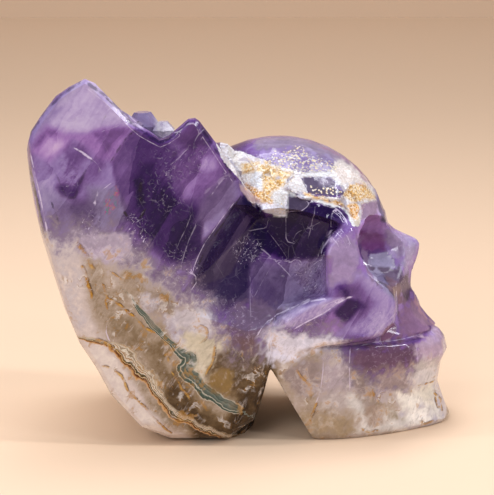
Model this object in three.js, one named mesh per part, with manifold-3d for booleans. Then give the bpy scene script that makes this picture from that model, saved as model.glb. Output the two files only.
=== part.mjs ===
// A single piece of chevron amethyst. Its left end is a polished slab of geode wall with quartz points
// left on top, and its right end is carved as a skull that looks along +X. Millimetres, +Z up, table at 0.
import * as THREE from "three";
import { ConvexGeometry } from "three/addons/geometries/ConvexGeometry.js";
import { LoftGeometry } from "three/addons/geometries/LoftGeometry.js";
import { mergeVertices } from "three/addons/utils/BufferGeometryUtils.js";
import Module from "manifold-3d";

const wasm = await Module();
wasm.setup();

const stoneColour = 0x7d68a0;
const weldDistance = 1e-3;

// Small helpers

// A closed three.js geometry as a solid that can be joined and cut.
function solid(geometry) {
  const bare = new THREE.BufferGeometry();
  bare.setAttribute("position", geometry.getAttribute("position"));
  bare.setIndex(geometry.getIndex());
  const merged = mergeVertices(bare, weldDistance);
  return new wasm.Manifold(
    new wasm.Mesh({
      numProp: 3,
      vertProperties: new Float32Array(merged.attributes.position.array),
      triVerts: new Uint32Array(merged.index.array),
    }),
  );
}

// The finished solid as a flat-shaded three.js geometry.
function geometryOf(body) {
  const mesh = body.getMesh();
  const geometry = new THREE.BufferGeometry();
  geometry.setAttribute("position", new THREE.BufferAttribute(mesh.vertProperties, 3));
  geometry.setIndex(new THREE.BufferAttribute(mesh.triVerts, 1));
  return geometry;
}

function joined(bodies) {
  return bodies.reduce((whole, body) => whole.add(body));
}

// Half sizes are along x, y and z, and the turn is about z in degrees.
function ellipsoid({ centre, half, turn = 0, around = 24, rings = 14 }) {
  const ball = new THREE.SphereGeometry(1, around, rings);
  ball.rotateX(Math.PI / 2);
  ball.scale(...half);
  ball.rotateZ(THREE.MathUtils.degToRad(turn));
  ball.translate(...centre);
  return solid(ball);
}

function hull(points) {
  return solid(new ConvexGeometry(points.map((p) => new THREE.Vector3(...p))));
}

// The same list of points on the other side of the skull's middle plane.
function mirrored(points) {
  return points.map(([x, y, z]) => [x, -y, z]);
}

// Moves each corner of a closed outline inwards, along the mean normal of its two sides.
function inset(outline, amount) {
  const count = outline.length;
  return outline.map(([x, z], i) => {
    const before = outline[(i + count - 1) % count];
    const after = outline[(i + 1) % count];
    const along = new THREE.Vector2(after[0] - before[0], after[1] - before[1]).normalize();
    return [x + along.y * amount, z - along.x * amount];
  });
}

// Cuts each corner of a closed ring once, so that the section is rounder.
function softened(ring) {
  const share = 0.24;
  return ring.flatMap((point, i) => {
    const next = ring[(i + 1) % ring.length];
    return [point.clone().lerp(next, share), point.clone().lerp(next, 1 - share)];
  });
}

// Slab of geode wall

// Outline of the polished near face, clockwise as seen from the front, [x, z].
const slabTop = [
  [-63.2, 96.5],
  [-60.1, 101.2],
  [-55.9, 106.7],
  [-51.9, 109.5],
  [-47.3, 111.9],
  [-44.5, 110.7],
  [-33.5, 99.2],
  [-28.6, 96.4],
  [-25.5, 94.0],
  [-23.4, 94.6],
  [-17.2, 100.0],
  [-15.2, 100.3],
  [-14.0, 99.4],
  [-9.4, 93.2],
  [-2.4, 83.7],
];
const slabNeck = [
  [2.0, 76.0],
  [8.0, 60.0],
  [9.0, 40.0],
  [7.6, 24.0],
  [4.9, 13.5],
  [3.0, 7.6],
];
const slabFoot = [
  [0.0, 0.0],
  [-9.0, 0.0],
  [-20.0, 0.0],
  [-29.0, 0.0],
];
const slabRind = [
  [-32.0, 5.6],
  [-35.6, 9.6],
  [-41.0, 15.8],
  [-45.4, 24.3],
  [-50.1, 31.7],
  [-53.9, 41.4],
  [-57.3, 53.5],
  [-60.6, 66.6],
  [-62.5, 77.4],
  [-63.6, 86.0],
  [-64.2, 93.2],
];

// One row per cut through the slab, from the near face to the far one. bevel draws the whole outline in,
// bulge pushes the rind out, foot lifts the underside and sole scales its length, waist draws in the neck
// side, and drop lowers the top.
const slabCuts = [
  { y: -31.6, bevel: 1.7, bulge: 0.0, foot: 6.0, sole: 0.7, waist: 3.6, drop: 0 },
  { y: -30.9, bevel: 0.6, bulge: 0.0, foot: 4.9, sole: 0.7, waist: 2.4, drop: 0 },
  { y: -29.4, bevel: 0.0, bulge: 0.0, foot: 3.3, sole: 0.65, waist: 1.2, drop: 0.3 },
  { y: -26.5, bevel: 0.0, bulge: 0.7, foot: 1.1, sole: 0.6, waist: 0.4, drop: 3.0 },
  { y: -23.0, bevel: 0.0, bulge: 1.1, foot: 0.0, sole: 0.65, waist: 0.0, drop: 6.5 },
  { y: -17.5, bevel: 0.0, bulge: 1.3, foot: 0.0, sole: 0.95, waist: 0.0, drop: 9.5 },
  { y: -9.0, bevel: 0.0, bulge: 1.5, foot: 0.0, sole: 1.15, waist: 0.0, drop: 12.0 },
  { y: 5.0, bevel: 0.0, bulge: 1.3, foot: 0.0, sole: 1.2, waist: 0.0, drop: 14.5 },
  { y: 18.0, bevel: 0.0, bulge: 0.4, foot: 0.0, sole: 0.95, waist: 0.2, drop: 16.5 },
  { y: 25.5, bevel: 0.0, bulge: -0.8, foot: 1.2, sole: 0.7, waist: 0.6, drop: 17.5 },
  { y: 30.0, bevel: 0.0, bulge: -1.8, foot: 4.4, sole: 0.6, waist: 1.4, drop: 18.5 },
  { y: 31.6, bevel: 1.6, bulge: -2.2, foot: 6.0, sole: 0.6, waist: 3.4, drop: 18.5 },
];
const soleCentre = -14.5;
const rindDropFrom = 40;
const drusyLevel = 96;
const drusyFlattening = 0.035;

// How far the peaks and notches of the near face have evened out where the top has dropped by drop.
function topFlatness(drop) {
  return Math.min(0.6, drop * drusyFlattening);
}

// How much of the top's drop a rind corner at height z takes.
function rindShare(z) {
  return THREE.MathUtils.clamp((z - rindDropFrom) / (slabTop[0][1] - rindDropFrom), 0, 1);
}

// The rind swells out less towards the foot.
function rindSwell(z) {
  return THREE.MathUtils.clamp(z / rindDropFrom, 0, 1);
}

function slabSection({ y, bevel, bulge, foot, sole, waist, drop }) {
  const flat = topFlatness(drop);
  const top = slabTop.map(([x, z]) => [x, z + (drusyLevel - z) * flat - drop]);
  const neck = slabNeck.map(([x, z]) => [x - waist, z]);
  const base = slabFoot.map(([x, z]) => [soleCentre + (x - soleCentre) * sole, z + foot]);
  const rind = slabRind.map(([x, z]) => [x - bulge * rindSwell(z), z - drop * rindShare(z)]);
  const outline = inset([...top, ...neck, ...base, ...rind], bevel);
  return outline.map(([x, z]) => new THREE.Vector3(x, y, z));
}

function slab() {
  const sections = slabCuts.map(slabSection);
  return solid(new LoftGeometry(sections, { capStart: true, capEnd: true }));
}

// Quartz points

const pointSides = 6;
const rootTaper = 0.9;

// A six-sided quartz point from its root to its tip. The shoulder is where the sides turn to the tip.
// blunt is the width of the small worn flat at the tip, as a share of the radius.
function quartzPoint({ root, tip, radius, shoulder = 0.55, spin = 0, blunt = 0.14 }) {
  const start = new THREE.Vector3(...root);
  const end = new THREE.Vector3(...tip);
  const length = start.distanceTo(end);
  const turn = new THREE.Quaternion().setFromUnitVectors(
    new THREE.Vector3(0, 0, 1),
    end.clone().sub(start).normalize(),
  );
  const ring = (height, size) =>
    Array.from({ length: pointSides }, (_, i) => {
      const angle = THREE.MathUtils.degToRad(spin) + (i * 2 * Math.PI) / pointSides;
      return new THREE.Vector3(size * Math.cos(angle), size * Math.sin(angle), height);
    });
  const local = [
    ...ring(0, radius * rootTaper),
    ...ring(length * shoulder, radius),
    ...ring(length, radius * blunt),
  ];
  return solid(new ConvexGeometry(local.map((p) => p.applyQuaternion(turn).add(start))));
}

// The points that show over the near face, and a row of blunt ones where the slab meets the skull.
const namedPoints = [
  { root: [-41, -15, 76], tip: [-47.5, -19, 105.4], radius: 14.5, spin: 20 },
  { root: [-17, -15, 76], tip: [-16, -20, 96.8], radius: 10, spin: 35 },
  { root: [-31, -5, 76], tip: [-31.9, -5, 98.2], radius: 5.2, spin: 4, shoulder: 0.82, blunt: 0.5 },
  { root: [-25, -9, 80], tip: [-25.4, -9, 96.0], radius: 3.8, spin: 28, shoulder: 0.84, blunt: 0.4 },
  { root: [-9, -15, 74], tip: [-8.4, -16, 90.0], radius: 5.6, spin: 15, shoulder: 0.82, blunt: 0.5 },
  { root: [-4, -17, 72], tip: [-2.6, -19, 86.2], radius: 5.6, spin: 44, shoulder: 0.85, blunt: 0.6 },
];

// The rest of the top is packed with points in staggered rows. Each is varied a little by its place in the row.
const field = { left: -57, near: -9, columns: 6, rows: 4, alongRow: 9.6, betweenRows: 10.4 };
const fieldPoint = { depth: 15, lean: 1.6, radius: 7.4, radiusSpread: 0.9, rise: 3.4, riseSpread: 1.7 };

// A steady number from -1 to 1 for one point of the field.
function variation(index, kind) {
  return Math.sin(index * 12.9 + kind * 4.7);
}

// Height of the bare top of the slab at one place.
function topHeight(x, y) {
  const after = slabCuts.findIndex((cut) => cut.y > y);
  const [cutA, cutB] = [slabCuts[after - 1], slabCuts[after]];
  const drop = THREE.MathUtils.mapLinear(y, cutA.y, cutB.y, cutA.drop, cutB.drop);
  const right = slabTop.findIndex((corner) => corner[0] > x);
  const [a, b] = [slabTop[right - 1], slabTop[right]];
  const edge = THREE.MathUtils.mapLinear(x, a[0], b[0], a[1], b[1]);
  return edge + (drusyLevel - edge) * topFlatness(drop) - drop;
}

function fieldPoints() {
  const { depth, lean, radius, radiusSpread, rise, riseSpread } = fieldPoint;
  return Array.from({ length: field.columns * field.rows }, (_, index) => {
    const row = Math.floor(index / field.columns);
    const column = index % field.columns;
    const x = field.left + (column + (row % 2) / 2) * field.alongRow + variation(index, 1);
    const y = field.near + row * field.betweenRows + variation(index, 2);
    const surface = topHeight(Math.min(x, slabTop[slabTop.length - 1][0] - 1), y);
    const tip = [
      x + lean * variation(index, 3),
      y + lean * variation(index, 4),
      surface + rise + riseSpread * variation(index, 5),
    ];
    return {
      root: [x, y, surface - depth],
      tip,
      radius: radius + radiusSpread * variation(index, 6),
      spin: 30 + 30 * variation(index, 7),
      shoulder: 0.66,
    };
  });
}
const faceGap = 0.4;

function quartzPoints() {
  const near = slabCuts[0].y + slabCuts[0].bevel + faceGap;
  const far = slabCuts[slabCuts.length - 1].y - faceGap;
  const room = new THREE.BoxGeometry(100, far - near, 120);
  room.translate(-30, (far + near) / 2, 60);
  return joined([...namedPoints, ...fieldPoints()].map(quartzPoint)).intersect(solid(room));
}

// Skull

const cranium = { centre: [10, 0, 58], half: [34, 28, 32], around: 32, rings: 20 };

// One row per level of the face and jaws. front is x on the middle plane, and the pairs are [x, half width].
const faceLevels = [
  { z: 0.0, front: 63.2, lip: [60.8, 8.2], cheek: [46.1, 17.8], side: [31, 24.0], rear: [20.4, 24.6] },
  { z: 1.6, front: 64.4, lip: [61.8, 9.0], cheek: [46.6, 18.7], side: [31, 25.0], rear: [19.4, 25.6] },
  { z: 5.0, front: 62.8, lip: [60.4, 8.8], cheek: [46.0, 18.8], side: [31, 25.3], rear: [17.5, 26.2] },
  { z: 12.0, front: 60.3, lip: [58.2, 8.6], cheek: [45.4, 18.6], side: [30, 25.8], rear: [13.5, 27.0] },
  { z: 18.8, front: 61.4, lip: [59.0, 9.6], cheek: [46.0, 19.5], side: [30, 26.4], rear: [9.8, 27.6] },
  { z: 22.8, front: 63.2, lip: [60.6, 10.6], cheek: [47.0, 20.4], side: [30, 27.0], rear: [7.4, 27.8] },
  { z: 26.8, front: 62.2, lip: [59.8, 10.6], cheek: [46.6, 20.4], side: [30, 27.0], rear: [5.4, 27.8] },
  { z: 28.9, front: 60.6, lip: [58.4, 9.8], cheek: [45.8, 19.7], side: [30, 26.6], rear: [4.6, 27.6] },
  { z: 29.7, front: 58.6, lip: [56.4, 8.4], cheek: [44.6, 18.2], side: [29, 25.4], rear: [4.4, 27.0] },
  { z: 30.6, front: 59.4, lip: [57.0, 8.8], cheek: [44.8, 18.4], side: [29, 25.6], rear: [4.0, 27.0] },
  { z: 33.5, front: 56.6, lip: [54.4, 8.0], cheek: [43.4, 17.4], side: [29, 25.2], rear: [3.0, 26.6] },
  { z: 36.4, front: 54.4, lip: [52.6, 6.6], cheek: [42.8, 17.6], side: [29, 25.0], rear: [2.0, 26.0] },
  { z: 39.6, front: 53.6, lip: [51.8, 5.6], cheek: [42.6, 18.6], side: [29, 25.0], rear: [1.0, 25.6] },
  { z: 43.2, front: 51.6, lip: [50.6, 5.4], cheek: [42.6, 20.8], side: [29, 25.4], rear: [0.0, 25.4] },
  { z: 47.0, front: 51.9, lip: [50.6, 5.4], cheek: [42.0, 24.2], side: [29, 26.2], rear: [0.0, 25.4] },
  { z: 51.0, front: 52.9, lip: [50.6, 5.0], cheek: [39.4, 25.2], side: [28, 26.8], rear: [0.0, 25.4] },
  { z: 54.0, front: 53.7, lip: [50.8, 4.6], cheek: [36.6, 25.8], side: [27, 27.2], rear: [0.0, 25.4] },
  { z: 56.4, front: 54.0, lip: [50.6, 4.4], cheek: [34.8, 26.0], side: [26, 27.2], rear: [0.0, 25.4] },
  { z: 57.8, front: 52.7, lip: [49.4, 4.6], cheek: [34.2, 26.0], side: [25, 27.2], rear: [0.0, 25.4] },
  { z: 60.7, front: 46.2, lip: [44.8, 6.4], cheek: [33.4, 25.8], side: [25, 27.0], rear: [0.0, 25.4] },
  { z: 62.8, front: 43.9, lip: [43.0, 9.4], cheek: [33.0, 25.4], side: [24, 26.6], rear: [0.0, 25.2] },
  { z: 66.8, front: 43.0, lip: [41.8, 9.8], cheek: [32.6, 24.4], side: [23, 25.6], rear: [0.0, 24.4] },
  { z: 70.6, front: 39.0, lip: [37.6, 8.6], cheek: [29.0, 20.6], side: [21, 22.8], rear: [0.0, 22.2] },
];

// The two short runs keep the middle of the face and the rear corner of the jaw from being rounded away.
const frontHalf = 1.2;
const rearReturn = 3;

function faceSection({ z, front, lip, cheek, side, rear }) {
  const half = [[front, frontHalf], lip, cheek, side, rear, [rear[0] - 0.2, rear[1] - rearReturn]];
  const far = half.map(([x, y]) => new THREE.Vector3(x, y, z));
  const near = half.map(([x, y]) => new THREE.Vector3(x, -y, z)).reverse();
  return softened([...far, ...near]);
}

function face() {
  return solid(new LoftGeometry(faceLevels.map(faceSection), { capStart: true, capEnd: true }));
}

// Cheekbone, the bar that runs back to the ear and the bar up to the brow, clockwise from the front, [x, z].
const cheekbone = [
  [4.5, 34.9],
  [10.2, 39.9],
  [18.3, 44.2],
  [23.6, 46.4],
  [23.5, 57.0],
  [21.9, 58.6],
  [23.8, 62.5],
  [27.6, 66.4],
  [32.4, 67.0],
  [34.3, 58.3],
  [37.0, 54.0],
  [40.6, 50.6],
  [44.1, 47.2],
  [45.3, 42.6],
  [45.0, 36.6],
  [41.6, 32.6],
  [36.0, 30.9],
  [29.5, 30.4],
  [22.3, 29.6],
  [16.0, 26.7],
  [11.6, 26.2],
  [7.2, 28.4],
];
const cheekRoot = 12;
const cheekSteps = [
  { sink: 2.6, inset: 0 },
  { sink: 0.8, inset: 0.8 },
  { sink: 0, inset: 2.2 },
];

// How far the cheekbone's outer face stands from the middle plane at one place.
const widest = { x: 18, z: 42, reach: 30.2, forwards: 0.0062, backwards: 0.0075, upwards: 0.0062, downwards: 0.012 };

function cheekReach(x, z) {
  const along = x - widest.x;
  const up = z - widest.z;
  const lengthwise = along * along * (along > 0 ? widest.forwards : widest.backwards);
  const upright = up * up * (up > 0 ? widest.upwards : widest.downwards);
  return widest.reach - lengthwise - upright;
}

// side is -1 for the near cheekbone and 1 for the far one.
function cheek(side) {
  const ring = (points, reach) => {
    const placed = points.map(([x, z]) => new THREE.Vector3(x, side * reach(x, z), z));
    return side < 0 ? placed.reverse() : placed;
  };
  const rings = [
    ring(cheekbone, () => cheekRoot),
    ...cheekSteps.map((step) => ring(inset(cheekbone, step.inset), (x, z) => cheekReach(x, z) - step.sink)),
  ];
  return solid(new LoftGeometry(rings, { capStart: true, capEnd: true }));
}

// The hollow at the temple, behind the brow bar and over the cheekbone. The rim runs past the surface.
const templeRim = [
  [-4.1, 74.4],
  [-17.0, 48.9],
  [-15.0, 41.0],
  [0.0, 36.0],
  [14.0, 39.0],
  [27.0, 46.0],
  [31.0, 58.0],
  [32.5, 68.0],
  [27.0, 72.0],
  [16.0, 74.5],
  [6.0, 75.4],
];
// Floor corners as [x, reach, z], where reach is the distance from the middle plane.
const templeFloor = [
  [3.0, 21.0, 68.0],
  [-5.0, 25.0, 52.0],
  [-1.0, 28.0, 44.0],
  [9.0, 24.0, 43.0],
  [18.0, 21.0, 46.0],
  [22.5, 20.0, 56.0],
  [25.0, 19.5, 66.5],
  [14.0, 20.5, 70.0],
];
const templeRimReach = 31.6;
const cutPast = 12;

function temple(side) {
  const points = [
    ...templeRim.map(([x, z]) => [x, templeRimReach, z]),
    ...templeRim.map(([x, z]) => [x, templeRimReach + cutPast, z]),
    ...templeFloor,
  ];
  return hull(side < 0 ? mirrored(points) : points);
}

const socket = { centre: [42.5, 16.8, 57.8], half: [13.5, 12.0, 11.2], turn: 24 };
const nasalHollow = { centre: [54.6, 0, 44.6], half: [5.4, 3.9, 6.2] };

// Flat-topped crystals of the natural crust on the near upper side. Each has its corners on the cranium as
// [x, z], and rise is how far its top stands out of the ball.
const crust = [
  { rise: 1.1, corners: [[14.5, 82], [26.5, 81.5], [31, 77], [28, 73.2], [16, 74.5], [12, 77.5]] },
  { rise: 1.4, corners: [[-4, 86], [4.5, 85.5], [6.5, 82], [1, 78], [-2.5, 81]] },
  { rise: 0.9, corners: [[-2, 80], [5.5, 80], [10.5, 76.5], [11, 71], [4.5, 71.2], [1.5, 74]] },
  { rise: 0.8, corners: [[30.5, 81], [34.5, 79], [39.6, 73.5], [41, 69.8], [34, 71.5], [31, 75.5]] },
  { rise: 0.7, corners: [[28.6, 72.4], [31.4, 68.2], [35.5, 67.8], [34.2, 71.3]] },
  { rise: 0.5, corners: [[6, 85], [15.5, 85], [14, 82.2], [11, 78], [7, 80.5]] },
];
const crustRoot = 4;
const crustEdge = 0.45;
const crustTopInset = 0.1;

// A corner on the cranium's near side, moved out of it or into it by height.
function onCranium([x, z], height) {
  const centre = new THREE.Vector3(...cranium.centre);
  const half = new THREE.Vector3(...cranium.half);
  const unit = new THREE.Vector3(x, 0, z).sub(centre).divide(half);
  unit.y = -Math.sqrt(Math.max(0, 1 - unit.x * unit.x - unit.z * unit.z));
  const outwards = unit.clone().divide(half).normalize();
  return unit.multiply(half).add(centre).addScaledVector(outwards, height);
}

function crustCrystal({ rise, corners }) {
  const top = corners.map((corner) => onCranium(corner, rise));
  const middle = top.reduce((sum, p) => sum.add(p), new THREE.Vector3()).divideScalar(top.length);
  const points = [
    ...corners.map((corner) => onCranium(corner, -crustRoot)),
    ...corners.map((corner) => onCranium(corner, rise - crustEdge)),
    ...top.map((p) => p.lerp(middle, crustTopInset)),
  ];
  return solid(new ConvexGeometry(points));
}

function eyeSocket(side) {
  const [x, y, z] = socket.centre;
  return ellipsoid({ ...socket, centre: [x, side * y, z], turn: side * socket.turn });
}

function skull() {
  const head = joined([ellipsoid(cranium), face(), ...crust.map(crustCrystal)]);
  const hollowed = head.subtract(temple(-1)).subtract(temple(1));
  const cheeks = joined([cheek(-1), cheek(1)]);
  return hollowed
    .add(cheeks)
    .subtract(eyeSocket(-1))
    .subtract(eyeSocket(1))
    .subtract(ellipsoid(nasalHollow));
}

// The whole stone

function stone() {
  const block = slab().add(quartzPoints());
  const hollowed = block.subtract(temple(-1)).subtract(temple(1));
  return hollowed.add(skull());
}

const material = new THREE.MeshStandardMaterial({
  color: stoneColour,
  roughness: 0.12,
  metalness: 0,
});
const mesh = new THREE.Mesh(geometryOf(stone()), material);
mesh.name = "amethyst_skull";

// The origin is under the middle of the stone's length. The widths are already even about the middle plane.
mesh.geometry.computeBoundingBox();
mesh.position.x = -mesh.geometry.boundingBox.getCenter(new THREE.Vector3()).x;

const part = new THREE.Group();
part.add(mesh);

export default part;
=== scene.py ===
import functools
import math
import bpy
import numpy as np
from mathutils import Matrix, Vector, noise


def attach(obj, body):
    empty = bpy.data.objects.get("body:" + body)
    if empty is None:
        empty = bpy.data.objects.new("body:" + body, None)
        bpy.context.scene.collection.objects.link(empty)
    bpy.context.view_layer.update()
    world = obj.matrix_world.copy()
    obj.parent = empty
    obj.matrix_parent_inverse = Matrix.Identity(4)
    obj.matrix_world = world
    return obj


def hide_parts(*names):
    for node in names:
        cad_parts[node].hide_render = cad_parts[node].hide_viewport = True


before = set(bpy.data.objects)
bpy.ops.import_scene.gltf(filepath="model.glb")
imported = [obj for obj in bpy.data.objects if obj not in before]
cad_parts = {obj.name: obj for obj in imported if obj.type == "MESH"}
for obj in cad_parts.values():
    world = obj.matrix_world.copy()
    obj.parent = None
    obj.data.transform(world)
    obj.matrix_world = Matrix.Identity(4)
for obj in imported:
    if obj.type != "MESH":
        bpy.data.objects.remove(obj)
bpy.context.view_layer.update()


def toLinear(hexColour):
    values = [int(hexColour[i:i + 2], 16) / 255 for i in (1, 3, 5)]
    return tuple(v / 12.92 if v <= 0.04045 else ((v + 0.055) / 1.055) ** 2.4 for v in values) + (1.0,)


def pickOnly(piece):
    bpy.ops.object.select_all(action="DESELECT")
    piece.select_set(True)
    bpy.context.view_layer.objects.active = piece


def applyModifiers(piece):
    pickOnly(piece)
    for modifier in list(piece.modifiers):
        bpy.ops.object.modifier_apply(modifier=modifier.name)


mathSigns = {"+": "Math ADD", "-": "Math SUBTRACT", "*": "Math MULTIPLY"}


# Adds a node, fills or links its inputs in order or by name, and gives back the output that is wanted. A
# maths node goes by its sign, or its operation follows its kind, as in "Math MAXIMUM". A ramp's stops are
# places with a colour or a grey level.
def addNode(tree, kind, *values, out=0, stops=None, **settings):
    kind, _, operation = mathSigns.get(kind, kind).partition(" ")
    node = tree.nodes.new("ShaderNode" + kind)
    if operation:
        node.operation = operation
    for name, value in settings.items():
        setattr(node, name, value)
    inputs = values[0] if values and isinstance(values[0], dict) else dict(enumerate(values))
    for name, value in inputs.items():
        if isinstance(value, bpy.types.NodeSocket):
            tree.links.new(value, node.inputs[name])
        else:
            node.inputs[name].default_value = toLinear(value) if isinstance(value, str) else value
    if stops:
        ramp = node.color_ramp.elements
        while len(ramp) < len(stops):
            ramp.new(0.5)
        for element, (position, colour) in zip(ramp, stops):
            element.position = position
            element.color = toLinear(colour) if isinstance(colour, str) else (colour, colour, colour, 1)
    return node.outputs[out]


# The stone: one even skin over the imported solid, softened where it is carved and grainy on its crust

stone = {
    "node": "amethyst_skull",
    "fineness": 8,             # halvings of the box round the stone, which gives faces of 0.76 mm
    "quickFineness": 7,
    "fill": 0.67,              # the stone's length in that box
    "smoothing": 5,            # passes, which round the carved forms and leave the crystal faces alone
    "smoothingFactor": 0.5,
    "slabEnds": (-1, 5),       # mm, x, where the sawn slab gives way to the carved skull
    "crustFoot": (66, 70),     # mm, z
    "crustTop": (84, 87),      # mm, z
    "crustFront": (38, 41),    # mm, x
    "crustBack": (-10, -4),    # mm, y
    "leastWeight": 0.02,
    "creaseAngle": 28,         # degrees
    "sugarSize": 0.0022,       # m
    "sugarDepth": 3,
    "crustGrain": 0.00035,     # m, how far the sugary crust stands in and out
}


def copyOfNode(name):
    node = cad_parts[stone["node"]]
    piece = bpy.data.objects.new(name, node.data.copy())
    bpy.context.scene.collection.objects.link(piece)
    pickOnly(piece)
    bpy.ops.object.mode_set(mode="EDIT")
    bpy.ops.mesh.select_all(action="SELECT")
    bpy.ops.mesh.remove_doubles(threshold=1e-6)
    bpy.ops.object.mode_set(mode="OBJECT")
    return piece


# The mesh's points in mm.
def pointsOf(piece):
    points = np.zeros(len(piece.data.vertices) * 3)
    piece.data.vertices.foreach_get("co", points)
    return points.reshape(-1, 3) * 1000


def smoothStep(low, high, values):
    share = np.clip((values - low) / (high - low), 0, 1)
    return share * share * (3 - 2 * share)


def fadeOut(low, high, values):
    return 1 - smoothStep(low, high, values)


def keepGroup(piece, name, weights):
    group = piece.vertex_groups.new(name=name)
    for index in np.flatnonzero(weights > stone["leastWeight"]):
        group.add([int(index)], float(weights[index]), "REPLACE")


# Crystal faces and the sawn slab are flat, and the skull is rounded, so only the skull is smoothed.
def flatShare(points):
    x, y, z = points.T
    onSlab = fadeOut(*stone["slabEnds"], x)
    onCrust = smoothStep(*stone["crustFoot"], z) * fadeOut(*stone["crustFront"], x)
    onCrust *= fadeOut(*stone["crustBack"], y)
    onCrust *= fadeOut(*stone["crustTop"], z)
    return np.maximum(onSlab, onCrust)


def makeStone():
    piece = copyOfNode("amethyst_stone")
    remesh = piece.modifiers.new("evenSkin", "REMESH")
    remesh.mode = "SHARP"
    remesh.octree_depth = stone["fineness"]
    remesh.scale = stone["fill"]
    remesh.use_remove_disconnected = False
    applyModifiers(piece)
    keepGroup(piece, "carved", 1 - flatShare(pointsOf(piece)))
    smooth = piece.modifiers.new("polish", "SMOOTH")
    smooth.factor = stone["smoothingFactor"]
    smooth.iterations = stone["smoothing"]
    smooth.vertex_group = "carved"
    applyModifiers(piece)
    keepGroup(piece, "sugary", crustCover(pointsOf(piece)))
    sugar = bpy.data.textures.new("sugar", "CLOUDS")
    sugar.noise_scale = stone["sugarSize"]
    sugar.noise_depth = stone["sugarDepth"]
    grain = piece.modifiers.new("crustGrain", "DISPLACE")
    grain.texture = sugar
    grain.vertex_group = "sugary"
    grain.strength = stone["crustGrain"]
    applyModifiers(piece)
    bpy.ops.object.shade_smooth_by_angle(angle=math.radians(stone["creaseAngle"]))
    print("stone has", len(piece.data.polygons), "faces")
    return piece


# What grew in the stone, and some painted highlights and shade, as outlines and lines of (x, z) in mm, where
# they show on the near side. A later zone covers an earlier one.

# Violet quartz lies above this line, milky quartz and agate below it.
cloudLine = [
    (-75, 66), (-63.5, 65.5), (-58.5, 66.3), (-54, 64), (-48.6, 67.5), (-45, 64), (-41, 65), (-36, 61),
    (-31, 59), (-27.5, 55.5), (-23.5, 52.5), (-19, 48.5), (-15.5, 46.5), (-12.5, 44.5), (-9.5, 40),
    (-6.5, 36), (-2.5, 31), (5, 31.5), (12, 34.5), (17, 33), (24, 34), (29, 29), (33, 21.5), (38, 18),
    (43, 17), (48, 17.5), (53, 20.5), (62, 24), (75, 24)]

# Outlines that more than one table below uses.
shapes = {
    "paleTop": [(-63, 90), (-58, 98), (-50, 95.5), (-42, 97), (-32.5, 98), (-38.5, 87.5), (-43, 88.5),
        (-50, 94), (-57, 87)],
    "smallTip": [(-20, 94), (-15.4, 99), (-11.5, 99), (-10, 93.5), (-16, 90)],
    "rightCrystal": [(-21.3, 86), (-13, 91.5), (-6, 88.5), (-4.5, 83.5), (-11.7, 78), (-18, 77)],
    "rightFlank": [(-12, 78.5), (-5, 83), (-1, 81), (-1.5, 76.5), (-8, 69.5), (-15, 68.5)],
    "darkWedge": [(-3.5, 75), (0, 78), (5, 72), (6.5, 67), (5.2, 58.5), (2, 55), (1.6, 44), (-4, 41),
        (-10, 43.5), (-15.5, 50.5), (-14.5, 57), (-11.7, 63)],
    "templeWindow": [(12.9, 74.4), (18.3, 74.3), (19.5, 72.9), (17.1, 71.2), (13, 69.9)],
    "underNeck": [(-11, 44), (1.5, 43), (5, 37), (4, 34), (-3, 34), (-9, 38)],
    "mauveFacet": [(34, 72), (41, 72.5), (43, 68), (36, 66.5)],
    "eyeSocket": [(34, 67), (42, 68), (43.8, 63), (43.3, 56.5), (40.5, 55), (35.5, 56.5), (33.5, 64)],
    "cheek": [(24.5, 60), (28.4, 64), (33.3, 66.5), (35.6, 56), (39, 52.5), (31.4, 54), (27, 52.5),
        (24.5, 50)],
    "cheekDeep": [(30.2, 45.3), (33.3, 44.2), (33.4, 42), (31.4, 39.2), (29.3, 39), (28, 40.8), (29.9, 43)],
    "cheekFoot": [(21.3, 38.5), (26, 41.5), (30, 38), (27, 34.5), (22.5, 35)],
}

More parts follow.
